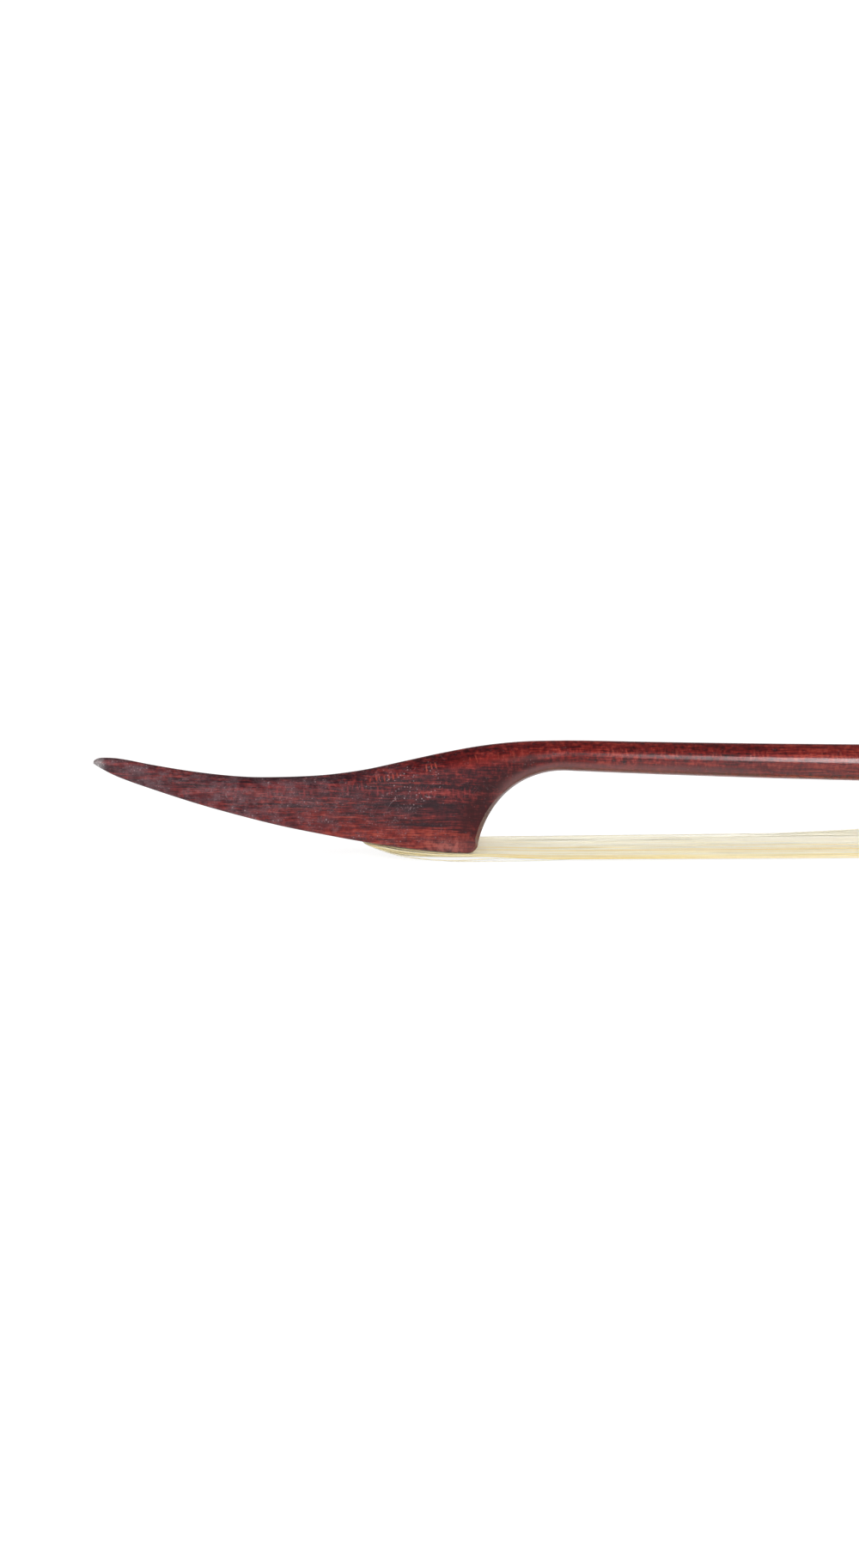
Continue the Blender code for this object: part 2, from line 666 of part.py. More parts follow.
def frog_ring(share):
    """A level section of the frog, at a share of its height: a box with round corners."""
    height = FROG_TOP_Z * share
    front = FROG_X + smooth_curve(FROG_FRONT)(share)
    rear = FROG_X + FROG_LENGTH - smooth_curve(FROG_REAR)(share)
    waist = smooth_curve((
        (0.0, FROG_WIDTH), (0.10, FROG_WIDTH), (0.55, FROG_WAIST), (1.0, FROG_TOP_WIDTH),
    ))
    half = waist(share) / 2 - (FROG_EDGE if share == 0.0 else 0.0)
    corner = FROG_CORNER
    ring = []
    corners = (
        (rear - corner, half - corner, 0), (front + corner, half - corner, 90),
        (front + corner, corner - half, 180), (rear - corner, corner - half, 270),
    )
    for x, y, start in corners:
        for turn in (0, 30, 60, 90):
            angle = math.radians(start + turn)
            ring.append(Vector((x + corner * math.cos(angle), y + corner * math.sin(angle), height)))
    return ring


def make_frog(finish, parent):
    body = loft("frog", [frog_ring(share) for share in FROG_LEVELS])
    frog = add_object("frog", body, finish, parent)
    corners = [math.radians(22.5 + 45 * i) for i in range(8)]
    reach = (HANDLE_WIDTH / 2 + CLEARANCE) * octagon_reach(corners[0])
    seat = [
        [Vector((x, reach * math.cos(a), HANDLE_Z + reach * math.sin(a))) for a in corners]
        for x in (FROG_X - FROG_LENGTH, FROG_X + 2 * FROG_LENGTH)
    ]
    combine(frog, "frog_seat_cutter", loft("frog_seat_cutter", seat))
    combine(frog, "hair_channel_cutter", box_mesh(
        "hair_channel_cutter", (FROG_X - FROG_LENGTH, -FROG_CHANNEL / 2, -FROG_HEIGHT),
        (FROG_MORTISE.wall_x, FROG_CHANNEL / 2, CHANNEL_ROOF_Z),
    ))
    cut_mortise(frog, "frog_mortise_cutter", FROG_MORTISE)
    shank = upright_rod(
        "eyelet_hole_cutter", EYELET_SHANK_DIAMETER / 2 + CLEARANCE,
        FROG_HEIGHT - EYELET_SHANK_DEPTH - CLEARANCE, HANDLE_Z,
    )
    combine(frog, "eyelet_hole_cutter", shank)


def upright_rod(name, radius, low, high):
    """A rod at the eyelet's place, from one height to another."""
    rings = []
    for z in (low, high):
        rings.append([
            Vector((
                EYELET_X + radius * math.cos(math.tau * i / SCREW_SIDES),
                radius * math.sin(math.tau * i / SCREW_SIDES), z,
            ))
            for i in range(SCREW_SIDES)
        ])
    return loft(name, rings)


def make_eyelet(finish, parent):
    bore = SCREW_DIAMETER / 2 + CLEARANCE
    top = HANDLE_Z + bore + EYELET_WALL
    low = HANDLE_Z - bore - EYELET_WALL
    half_length, half_width = EYELET_LENGTH / 2, EYELET_WIDTH / 2
    block = box_mesh(
        "eyelet", (EYELET_X - half_length, -half_width, low), (EYELET_X + half_length, half_width, top),
    )
    eyelet = add_object("eyelet", block, finish, parent)
    eyelet.modifiers.new("ease", "BEVEL").width = EYELET_WALL / 2
    shank = upright_rod(
        "eyelet_shank", EYELET_SHANK_DIAMETER / 2,
        FROG_HEIGHT - EYELET_SHANK_DEPTH, low + EYELET_WALL / 2,
    )
    combine(eyelet, "eyelet_shank", shank, "UNION")
    bore_cutter = turned(
        "eyelet_bore_cutter",
        ((EYELET_X - EYELET_LENGTH, bore), (EYELET_X + EYELET_LENGTH, bore)), HANDLE_Z, SCREW_SIDES,
    )
    combine(eyelet, "eyelet_bore_cutter", bore_cutter)


# Screw and button

def make_screw(finish, parent):
    """Nose, thread and shank, then the tang in the button; the thread is a ridge that winds."""
    nose_x = SLOT_START_X - SCREW_NOSE_LENGTH
    thread_x = SLOT_START_X + SLOT_MARGIN / 2
    core = SCREW_DIAMETER / 2 - THREAD_HEIGHT
    tang_end = STICK_END_X + BUTTON_BORE_DEPTH
    places = [(nose_x, 0.6 * core, 0.0), (nose_x + core / 2, core, 0.0), (thread_x, core, 0.0)]
    rows = round((SLOT_END_X - thread_x) / THREAD_PITCH * THREAD_STEPS)
    for i in range(1, rows):
        places.append((lerp(thread_x, SLOT_END_X, i / rows), core, THREAD_HEIGHT))
    places += [
        (SLOT_END_X, core, 0.0), (SLOT_END_X + THREAD_PITCH, SCREW_DIAMETER / 2, 0.0),
        (tang_end, SCREW_DIAMETER / 2, 0.0),
    ]
    rings = []
    for x, radius, height in places:
        ring = []
        for i in range(SCREW_SIDES):
            turn = i / SCREW_SIDES
            phase = (x / THREAD_PITCH - turn) % 1.0
            reach = radius + height * (1 - abs(2 * phase - 1))
            angle = math.tau * turn
            ring.append(Vector((x, reach * math.cos(angle), HANDLE_Z + reach * math.sin(angle))))
        rings.append(ring)
    add_object("screw", loft("screw", rings), finish, parent)


def make_button(finish, parent):
    start = STICK_END_X + CLEARANCE
    profile = [
        (start + BUTTON_LENGTH * share, BUTTON_DIAMETER / 2 * radius)
        for share, radius in BUTTON_PROFILE
    ]
    button = add_object("button", turned("button", profile, HANDLE_Z, TURNED_SIDES), finish, parent)
    bore = SCREW_DIAMETER / 2 + CLEARANCE
    combine(button, "button_bore_cutter", turned(
        "button_bore_cutter",
        ((start - BUTTON_LENGTH, bore), (start + BUTTON_BORE_DEPTH, bore)), HANDLE_Z, SCREW_SIDES,
    ))


def main():
    for old in list(bpy.data.objects):
        bpy.data.objects.remove(old, do_unlink=True)
    finishes = {
        "stick": material("figured_hardwood", (0.17, 0.035, 0.028), 0.3),
        "frog": material("dark_figured_hardwood", (0.10, 0.022, 0.018), 0.32),
        "plug": material("pale_plug_wood", (0.62, 0.45, 0.27), 0.6),
        "hair": material("horsehair", (0.83, 0.77, 0.62), 0.5),
        "rosin": material("rosin_set_hair", (0.20, 0.10, 0.03), 0.35),
        "thread": material("linen_thread", (0.75, 0.70, 0.58), 0.8),
        "brass": material("brass", (0.78, 0.56, 0.22), 0.3, 1.0),
        "steel": material("steel", (0.55, 0.55, 0.56), 0.3, 1.0),
        "bone": material("bone", (0.84, 0.78, 0.65), 0.35),
    }
    bow = empty("bow", (0.0, 0.0, 0.0))
    carriage = empty("frog_carriage", (EYELET_X, 0.0, HANDLE_Z))
    spindle = empty("screw_axis", (STICK_END_X, 0.0, HANDLE_Z))
    make_stick(finishes["stick"], bow)
    make_head_hair(finishes, bow)
    make_hair_ribbon(finishes["hair"], bow)
    make_frog(finishes["frog"], carriage)
    make_frog_hair(finishes, carriage)
    make_eyelet(finishes["brass"], carriage)
    make_screw(finishes["steel"], spindle)
    make_button(finishes["bone"], spindle)


main()
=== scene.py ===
"""Looks of the baroque viola bow: figured wood, horsehair, bone, brass and steel.

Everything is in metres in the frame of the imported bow: X runs from the bill of the
head (-X) to the button (+X), Y is the bow's width and Z points up from the hair.
"""

import random
from math import cos, pi, radians, sin, sqrt, tan, tau

import bmesh
import bpy
from mathutils import Matrix, Vector


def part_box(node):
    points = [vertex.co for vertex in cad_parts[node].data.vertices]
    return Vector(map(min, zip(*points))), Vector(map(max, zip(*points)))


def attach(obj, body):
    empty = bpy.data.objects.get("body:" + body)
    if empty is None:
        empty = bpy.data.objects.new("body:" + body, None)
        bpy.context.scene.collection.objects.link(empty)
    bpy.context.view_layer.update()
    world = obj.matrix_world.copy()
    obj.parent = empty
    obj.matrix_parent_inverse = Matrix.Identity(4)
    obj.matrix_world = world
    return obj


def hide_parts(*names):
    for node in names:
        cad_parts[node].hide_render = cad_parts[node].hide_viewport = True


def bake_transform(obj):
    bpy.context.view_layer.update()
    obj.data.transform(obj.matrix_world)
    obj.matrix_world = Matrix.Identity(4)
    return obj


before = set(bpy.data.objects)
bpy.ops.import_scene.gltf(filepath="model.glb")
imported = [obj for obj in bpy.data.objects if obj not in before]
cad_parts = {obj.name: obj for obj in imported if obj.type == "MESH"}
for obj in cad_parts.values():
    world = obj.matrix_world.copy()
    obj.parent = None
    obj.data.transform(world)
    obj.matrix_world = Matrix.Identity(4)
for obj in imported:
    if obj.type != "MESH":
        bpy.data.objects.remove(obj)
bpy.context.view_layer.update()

# Sizes of the head and the stick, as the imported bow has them
CLEARANCE = 0.0003
HEAD_LENGTH = 0.0688
HEAD_HEIGHT = 0.0197
HEEL_WIDTH = 0.0090
HEEL_RADIUS = 0.0016
BILL_ROUNDING = 0.0015
BILL_EDGE = 0.0003
BILL_END_WIDTH = 0.35  # share of its width that the bill keeps at its rounded end
CHEEK_HOLLOW = 1.4  # above 1, the head's cheeks are hollow
THROAT_LENGTH = 0.0160
THROAT_CHAMFER = 0.0013
NECK_DIAMETER = 0.0055
NECK_SLOPE = tan(radians(2.52))
STICK_TAPER = 3.0
HANDLE_WIDTH = 0.0092
HANDLE_LENGTH = 0.115
FACET_RUN_OUT = 0.012
FACET_EASE = 0.985  # radius to which the handle's corners are eased, as a share of their reach

# Sizes of the hair
HAIR_THICKNESS = 0.0010
HAIR_WIDTH_AT_HEAD = 0.0102
HAIR_WIDTH_AT_FROG = 0.0098
BUNDLE_DIAMETER = 0.0021
THREAD_DIAMETER = 0.0004
THREAD_TURNS = 4
KNOT_LENGTH = 0.0034
KNOT_END_SHARE = 0.35
KNOT_END_ROOM = 0.0010
KNOT_RIDGE = 0.035  # depth between the knot's ridges, as a share of its radius
KNOT_DENT = 0.02
PLY_WAIST = 0.80  # thickness of the thread between its plies, as a share of the whole
PLY_TWISTS = 6  # in one turn of the thread
PLUG_DEPTH = 0.0018
PLUG_NOSE = 0.44  # share of the depth that is cut off the plug's corners by the hair
PLUG_EDGE = 0.00015
HAIR_EXIT = 0.0214
HEAD_MORTISE_WIDTH = 0.0050

# Sizes of the frog
FROG_LENGTH = 0.046
FROG_HEIGHT = 0.0155
FROG_RAIL = 0.0012
FROG_WAIST = 0.0094
FROG_WALL = 0.0010
FROG_CHEEK = 0.00055
FROG_CHEEK_RISE = 0.28
FROG_CORNER = 0.0020
FROG_EDGE = 0.0002
FROG_MORTISE_START = 0.0130
FROG_TRAVEL = 0.0045

# Sizes of the screw, the eyelet and the button
SCREW_DIAMETER = 0.0026
THREAD_PITCH = 0.00075
THREAD_HEIGHT = 0.00028
SCREW_NOSE_LENGTH = 0.006
EYELET_LENGTH = 0.0050
EYELET_WIDTH = 0.0046
EYELET_WALL = 0.0007
EYELET_SHANK_DIAMETER = 0.0028
EYELET_SHANK_DEPTH = 0.0050
EYELET_FROM_FROG_FRONT = 0.0280
SLOT_MARGIN = 0.0020
BUTTON_DIAMETER = 0.0098
BUTTON_BORE_DEPTH = 0.0120
BUTTON_LINES = (0.42, 0.50)  # shares of its length where the two fine lines are cut
BUTTON_LINE_HALF = 0.012  # half the width of a line, as a share of the length
BUTTON_LINE_DEPTH = 0.00012

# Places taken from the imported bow
BILL_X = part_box("stick")[0].x
STICK_END_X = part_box("stick")[1].x
HEEL_X = BILL_X + HEAD_LENGTH
NECK_X = HEEL_X + THROAT_LENGTH
HANDLE_X = STICK_END_X - HANDLE_LENGTH
STICK_RUN = HANDLE_X - NECK_X
FROG_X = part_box("frog")[0].x
BUTTON_START_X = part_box("button")[0].x
BUTTON_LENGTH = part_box("button")[1].x - BUTTON_START_X
HEEL_Z = HAIR_THICKNESS + CLEARANCE
THROAT_Z = HEEL_Z + HEEL_RADIUS
NECK_Z = HEEL_Z + HEAD_HEIGHT - NECK_DIAMETER / 2
HANDLE_Z = FROG_HEIGHT + CLEARANCE + HANDLE_WIDTH / 2
CHANNEL_ROOF_Z = HAIR_THICKNESS + 2 * CLEARANCE
FROG_TOP_Z = FROG_HEIGHT + FROG_CHEEK_RISE * HANDLE_WIDTH
EYELET_X = FROG_X + EYELET_FROM_FROG_FRONT
SLOT_START_X = EYELET_X - EYELET_LENGTH / 2 - SLOT_MARGIN
SLOT_END_X = EYELET_X + EYELET_LENGTH / 2 + FROG_TRAVEL + SLOT_MARGIN

# Room for the knot in each mortise
WOUND_DIAMETER = BUNDLE_DIAMETER + 2 * CLEARANCE + 2 * THREAD_DIAMETER
KNOT_ROOM = WOUND_DIAMETER + 2 * CLEARANCE
BUNDLE_REACH = (
    2 * HAIR_THICKNESS + BUNDLE_DIAMETER / 2 + 3 * CLEARANCE + (2 * THREAD_TURNS + 1) * THREAD_DIAMETER
)
MORTISE_LENGTH = BUNDLE_REACH + CLEARANCE + KNOT_LENGTH + KNOT_END_ROOM
FROG_CHANNEL = HAIR_WIDTH_AT_FROG + 2 * CLEARANCE
FROG_WIDTH = FROG_CHANNEL + 2 * FROG_RAIL
FROG_TOP_WIDTH = HANDLE_WIDTH + 2 * FROG_CHEEK
FROG_MORTISE_WIDTH = FROG_WAIST - 2 * FROG_WALL

# Side view of the head: shares of its length from the bill, shares of its height
RIDGE = (
    (0.0, 0.870), (0.06, 0.864), (0.165, 0.789), (0.273, 0.722), (0.38, 0.678),
    (0.46, 0.668), (0.595, 0.683), (0.702, 0.730), (0.81, 0.812), (0.917, 0.894),
    (1.02, 0.956), (1.12, 0.989), (1.233, 0.997),
)
UNDERSIDE = (
    (0.0, 0.826), (0.06, 0.713), (0.165, 0.578), (0.273, 0.454), (0.38, 0.347),
    (0.488, 0.251), (0.595, 0.174), (0.702, 0.104), (0.81, 0.048), (0.917, 0.008),
    (1.0, 0.0),
)
UNDERSIDE_WIDTH = ((0.0, 0.24), (0.08, 0.33), (0.31, 0.545), (0.69, 0.835), (1.0, 1.0))
RIDGE_WIDTH = ((0.0, 0.22), (0.08, 0.30), (0.46, 0.42), (0.80, 0.54), (1.0, 0.60))
RIDGE_PAIRING = ((0.0, 0.0), (0.55, 0.55), (0.8, 0.765), (1.0, 0.89))

# Side view of the frog: shares of its height to the cheeks' top, distances in metres
FROG_FRONT = (
    (0.0, 0.0007), (0.05, 0.0), (0.11, 0.0004), (0.20, 0.0034), (0.32, 0.0078),
    (0.50, 0.0118), (0.70, 0.0132), (0.88, 0.0126), (1.0, 0.0112),
)
FROG_REAR = (
    (0.0, 0.0006), (0.06, 0.0), (0.30, 0.0006), (0.60, 0.0022), (0.85, 0.0046), (1.0, 0.0050),
)

# Profile of the button: shares of its length from the stick, shares of its radius
BUTTON_PROFILE = (
    (0.0, 0.86), (0.03, 0.95), (0.10, 0.98), (0.16, 0.94), (0.19, 0.80), (0.23, 0.78),
    (0.27, 0.88), (0.36, 0.97), (0.46, 1.0), (0.56, 0.97), (0.66, 0.87), (0.73, 0.72),
    (0.77, 0.56), (0.80, 0.46), (0.83, 0.44), (0.855, 0.462), (0.88, 0.488), (0.905, 0.498),
    (0.93, 0.482), (0.95, 0.441), (0.968, 0.374), (0.982, 0.293), (0.992, 0.200), (0.998, 0.105),
    (1.0, 0.03),
)

# Fineness of the meshes
BILL_STATIONS = 70
THROAT_STATIONS = 36
STICK_STATIONS = 130
FACET_STATIONS = 12
HANDLE_STATIONS = 24
FROG_LEVELS = 48
FROG_CORNER_STEPS = 7
SCREW_SIDES = 32
SCREW_STEPS = 10  # rows of points in one pitch of the thread
BUTTON_SIDES = 72
BUTTON_STEPS = 10  # rows between two places of the profile
KNOT_ROWS = 28
KNOT_SIDES = 36
COIL_STEPS = 40  # rows in one turn of the bound thread
COIL_SIDES = 12

# The photograph's frame, in pixels, and how the bow sits in it
PHOTO_WIDTH = 1000
PHOTO_HEIGHT = 1825
PIXELS_PER_METRE = 6500
HEEL_COLUMN = 556.7  # near lower edge of the heel
HEEL_ROW = 993.5
VIEW_ELEVATION = radians(20)
VIEW_ROLL = radians(0.45)
LENS = 400
SENSOR = 36

# Floor and lights, in metres and watts
FLOOR_REACH = 24.0
FLOOR_RISE = 2.5
# Name, place, width, height and power of each soft light
SOFT_LIGHTS = (
    ("front_soft_light", (0.5, -1.6, 1.15), 1.6, 1.2, 32.5),
    ("overhead_soft_light", (-0.2, 0.3, 2.2), 2.6, 2.2, 34.0),
    ("back_soft_light", (-0.4, 2.0, 0.9), 1.8, 1.2, 14.0),
)
SOFTBOX_AWAY = 0.2
SOFTBOX_RISE = radians(29)
SOFTBOX_DEPTH = 0.10
# Start, end and radiance of each stretch of the long softbox
SOFTBOX_STRETCHES = (
    (-0.300, -0.258, 1.3), (-0.258, -0.244, 3.5), (-0.244, -0.232, 6.6), (-0.232, -0.220, 10.5),
    (-0.220, -0.10, 14.5), (-0.10, -0.02, 10.0), (-0.02, 0.06, 6.0), (0.06, 0.50, 3.0),
)


# Small helpers for shapes

def clamp(value, low=0.0, high=1.0):
    return min(max(value, low), high)


def lerp(a, b, t):
    return a + (b - a) * t


def smooth_step(t):
    t = clamp(t)
    return t * t * (3 - 2 * t)


def cubic(t, a, slope_a, b, slope_b):
    """The smooth way from a (t = 0) to b (t = 1) that has these slopes at its ends."""
    return (
        (2 * t**3 - 3 * t**2 + 1) * a + (t**3 - 2 * t**2 + t) * slope_a
        + (3 * t**2 - 2 * t**3) * b + (t**3 - t**2) * slope_b
    )


def half_chord(off):
    """Half the chord of a unit circle that passes off its centre."""
    return sqrt(max(1 - off * off, 0.0))


def neighbours(places, i):
    """The places before and after the one at i, which stands in for them at the ends."""
    return places[max(i - 1, 0)], places[min(i + 1, len(places) - 1)]


def smooth_curve(points):
    """Return y(x) of a smooth curve through points, with x rising from one to the next."""
    slopes = []
    for i in range(len(points)):
        (x0, y0), (x1, y1) = neighbours(points, i)
        slopes.append((y1 - y0) / (x1 - x0))

    def value(x):
        x = clamp(x, points[0][0], points[-1][0])
        i = 0
        while i < len(points) - 2 and x > points[i + 1][0]:
            i += 1
        (x0, y0), (x1, y1) = points[i], points[i + 1]
        span = x1 - x0
        return cubic((x - x0) / span, y0, span * slopes[i], y1, span * slopes[i + 1])

    return value


def smooth_path(points, steps):
    """Return a smooth path through (x, z) points, with steps places from one to the next."""
    points = [Vector(point) for point in points]
    path = []
    for i in range(len(points) - 1):
        before, after = neighbours(points, i)[0], neighbours(points, i + 1)[1]
        a, b = points[i], points[i + 1]
        for step in range(steps):
            path.append(cubic(step / steps, a, (b - before) / 2, b, (after - a) / 2))
    return path + points[-1:]


def around(count, first=0.0):
    """Angles of count even steps of one turn, from the angle first."""
    return [first + tau * i / count for i in range(count)]


def about_axis(x, radius, angle, axis_z):
    """Place at a radius and an angle about the line along X at height axis_z."""
    return x, radius * cos(angle), axis_z + radius * sin(angle)


# Meshes and pieces

def shade_mesh(mesh, sharp):
    """Smooth shading, apart from edges that turn by more than sharp degrees."""
    mesh.shade_smooth()
    mesh.set_sharp_from_angle(angle=radians(sharp))


def mesh_from(points, faces, sharp):
    mesh = bpy.data.meshes.new("mesh")
    mesh.from_pydata([tuple(p) for p in points], [], faces)
    shaped = bmesh.new()
    shaped.from_mesh(mesh)
    bmesh.ops.recalc_face_normals(shaped, faces=shaped.faces)
    shaped.to_mesh(mesh)
    shaped.free()
    shade_mesh(mesh, sharp)
    return mesh


def tube_faces(rings, count, first=0):
    """Faces of a closed tube whose rings of count points start at the index first."""
    last = first + (rings - 1) * count
    faces = []
    for a in range(first, last, count):
        b = a + count
        for i in range(count):
            j = (i + 1) % count
            faces.append((a + i, a + j, b + j, b + i))
    faces.append(tuple(reversed(range(first, first + count))))
    faces.append(tuple(range(last, last + count)))
    return faces


def loft(rings, sharp=35):
    """Join rings of as many points into one closed skin, with a flat cap at each end."""
    points = [p for ring in rings for p in ring]
    return mesh_from(points, tube_faces(len(rings), len(rings[0])), sharp)


def turned(profile, angles):
    """Turn a profile of (x, radius) places about the handle's axis, with corners at angles."""
    return loft([[about_axis(x, radius, turn, HANDLE_Z) for turn in angles] for x, radius in profile])


def bored(start_x, end_x):
    """The bore that clears the screw, from start_x to end_x."""
    bore = SCREW_DIAMETER / 2 + CLEARANCE
    return turned(((start_x, bore), (end_x, bore)), around(SCREW_SIDES))


def box_mesh(low, high):
    """A box from its lowest corner to its highest."""
    (x0, y0, z0), (x1, y1, z1) = low, high
    return loft([[(x0, y0, z), (x1, y0, z), (x1, y1, z), (x0, y1, z)] for z in (z0, z1)])


def add_object(name, data, finish=None):
    data.name = name
    made = bpy.data.objects.new(name, data)
    bpy.context.scene.collection.objects.link(made)
    if finish:
        data.materials.append(finish)
    return made


def apply_step(piece, step, sharp=35):
    """Apply a modifier of the piece and shade the mesh that it leaves."""
    bpy.context.view_layer.objects.active = piece
    bpy.ops.object.modifier_apply(modifier=step.name)
    shade_mesh(piece.data, sharp)


def make_piece(name, mesh, finish, body, node, cutters=()):
    """Add a piece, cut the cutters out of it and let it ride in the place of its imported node."""
    piece = add_object(name, mesh, finish)
    for cutter in cutters:
        tool = add_object("cutter", cutter)
        step = piece.modifiers.new("cut", "BOOLEAN")
        step.operation = "DIFFERENCE"
        step.solver = "EXACT"
        step.object = tool
        apply_step(piece, step)
        bpy.data.objects.remove(tool, do_unlink=True)
    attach(piece, body)
    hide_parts(node)
    return piece


# Nodes of the finishes, written as arithmetic

def operator(operation, reflected=False):
    """An operator of Value, which adds the Math node of the operation."""

    def work_out(self, other):
        return self.math(operation, other, self) if reflected else self.math(operation, self, other)

    return work_out


class Value:
    """An output of a node; arithmetic on it adds Math nodes."""

    def __init__(self, finish, socket):
        self.finish = finish
        self.socket = socket

    def math(self, operation, *terms):
        return self.finish.node("Math", {"operation": operation}, dict(enumerate(terms)))

    __add__, __radd__ = operator("ADD"), operator("ADD", True)
    __sub__, __rsub__ = operator("SUBTRACT"), operator("SUBTRACT", True)
    __mul__, __rmul__ = operator("MULTIPLY"), operator("MULTIPLY", True)
    __pow__ = operator("POWER")

    def __abs__(self):
        return self.math("ABSOLUTE", self)

    def highest(self, other):
        return self.math("MAXIMUM", self, other)

    def clamped(self):
        return self.finish.node("Clamp", {}, {0: self})

    def fade(self, low, high):
        """0 below low, 1 above high and smooth between; with low above high it falls."""
        return self.finish.node("MapRange", {"interpolation_type": "SMOOTHSTEP"}, {
            "Value": self, "From Min": low, "From Max": high,
        })

    def between(self, start, full, last_full, end):
        """1 from full to last_full, fading to 0 at start and at end."""
        return self.fade(start, full) * self.fade(end, last_full)


class Finish:
    """A material built on a Principled shader, and the nodes that vary it."""

    def __init__(self, name, specular=0.5, metallic=0.0):
        self.material = bpy.data.materials.new(name)
        self.material.use_nodes = True
        self.tree = self.material.node_tree
        self.shader = self.tree.nodes["Principled BSDF"]
        self.color = None
        self.set("Specular IOR Level", specular)
        self.set("Metallic", metallic)

    def set(self, name, value):
        self.feed(self.shader.inputs[name], value)

    def feed(self, socket, value):
        if isinstance(value, Value):
            self.tree.links.new(value.socket, socket)
        elif socket.type == "RGBA":
            socket.default_value = (*value, 1.0)
        else:
            socket.default_value = value

    def node(self, kind, settings, inputs, output=0):
        """Add a node, make its settings, feed its sockets and return one of its outputs."""
        made = self.tree.nodes.new("ShaderNode" + kind)
        for name, value in settings.items():
            if name == "stops":
                elements = made.color_ramp.elements
                for spare in list(elements)[1:]:
                    elements.remove(spare)
                for i, (place, *color) in enumerate(value):
                    stop = elements.new(place) if i else elements[0]
                    stop.position = place
                    stop.color = (*shade(*color), 1.0)
            else:
                setattr(made, name, value)
        for name, value in inputs.items():
            self.feed(made.inputs[name], value)
        return Value(self, made.outputs[output])

    def spot(self):
        """The point that is shaded, in metres."""
        return self.node("TexCoord", {}, {}, "Object")

    def parts(self, vector):
        """The x, y and z of a vector."""
        return [self.node("SeparateXYZ", {}, {0: vector}, axis) for axis in range(3)]

    def vector(self, x, y, z):
        return self.node("CombineXYZ", {}, {0: x, 1: y, 2: z})

    def noise(self, spot, lumps, detail=2.0, roughness=0.55):
        """Noise from about 0 to 1, with so many lumps to the metre along each axis."""
        scaled = self.node("VectorMath", {"operation": "MULTIPLY"}, {0: spot, 1: lumps})
        return self.node("TexNoise", {}, {
            "Vector": scaled, "Scale": 1.0, "Detail": detail, "Roughness": roughness,
        })

    def mix(self, share, a, b):
        """Mix of two colours."""
        return self.node("Mix", {"data_type": "RGBA"}, {0: share, 6: a, 7: b}, 2)

    def ramp(self, value, *stops):
        """Colour by value; a stop is a place and the colour's red, green and blue."""
        return self.node("ValToRGB", {"stops": stops}, {0: value})

    def lay(self, share, *color):
        """Lay a colour's red, green and blue over the colours so far."""
        self.color = self.mix(share, self.color, shade(*color))

    def finished(self, roughness, relief=None, height=0.0):
        """Set the colour, the roughness and a relief so many metres high; return the material."""
        self.set("Base Color", self.color)
        self.set("Roughness", roughness)
        if relief:
            self.set("Normal", self.node("Bump", {}, {"Height": relief, "Distance": height}))
        return self.material


def shade(red, green, blue):
    """Linear colour of an sRGB colour in steps of 1/255."""
    return tuple(
        c / 12.92 if c <= 0.04045 else ((c + 0.055) / 1.055) ** 2.4
        for c in (red / 255, green / 255, blue / 255)
    )


# Figured hardwood of the stick and the head

# Dark bands in the head: height, half thickness, start, end, depth; metres in the bow's frame
DARK_BANDS = (
    (0.0143, 0.00070, -0.350, -0.304, 0.80),
    (0.0136, 0.00050, -0.318, -0.286, 0.75),
    (0.0118, 0.00028, -0.312, -0.294, 0.45),
    (0.0101, 0.00045, -0.328, -0.296, 0.80),
    (0.0092, 0.00050, -0.346, -0.322, 0.65),
    (0.0064, 0.00028, -0.309, -0.300, 0.90),
    (0.0052, 0.00022, -0.301, -0.294, 0.45),
)
# Lines that the ray flecks follow, up the head into the stick and in the bill: x, height
FLECK_CREST = (
    (-0.3125, 0.0145), (-0.3091, 0.0149), (-0.3045, 0.0162), (-0.3006, 0.0171),
    (-0.2914, 0.0191), (-0.2780, 0.0198), (-0.2620, 0.0201),
)
BILL_CREST = ((-0.3460, 0.0108), (-0.3330, 0.0118), (-0.3180, 0.0124))
BILL_GRAIN_DIP = 0.0022


def grain_height(x, z):
    """Height measured along the grain, which dips in the bill and follows the stick."""
    to_bill = ((HEEL_X - x) * (1 / HEAD_LENGTH)).clamped()
    t = ((x - NECK_X) * (1 / STICK_RUN)).clamped()
    return z - (stick_axis(t) - NECK_Z) - to_bill * to_bill * BILL_GRAIN_DIP


def above_crest(x, height, crest):
    """Height above the line that a crest's places make."""
    line = crest[0][1]
    for (x0, z0), (x1, z1) in zip(crest, crest[1:]):
        line = line + ((x - x0) * (1 / (x1 - x0))).clamped() * (z1 - z0)
    return height - line


def ray_flecks(wood, x, y, height, crest, half, spacing):
    """Short strokes across the grain, in groups within half of a crest."""
    spot = wood.vector(x, y, height)
    start = crest[0][0]
    off = abs(above_crest(x, height, crest))
    reach = wood.noise(spot, (1100, 300, 60), 1.0)
    within = (off + (reach - 0.5) * (1.6 * half)).fade(half, half * 0.4)
    ends = x.between(start - 0.001, start + 0.001, -0.2, HANDLE_X - 0.06)
    groups = wood.noise(spot, (210, 80, 160), 1.0).fade(0.46, 0.53)
    jitter = wood.noise(spot, (560, 200, 300), 1.0)
    wave = x * (tau / spacing) + jitter * 11.0 + y * 900
    strokes = wave.math("SINE", wave).fade(0.0, 0.8)
    broken = wood.noise(spot, (1300, 500, 1300), 1.0).fade(0.38, 0.54)
    return strokes * groups * within * ends * broken


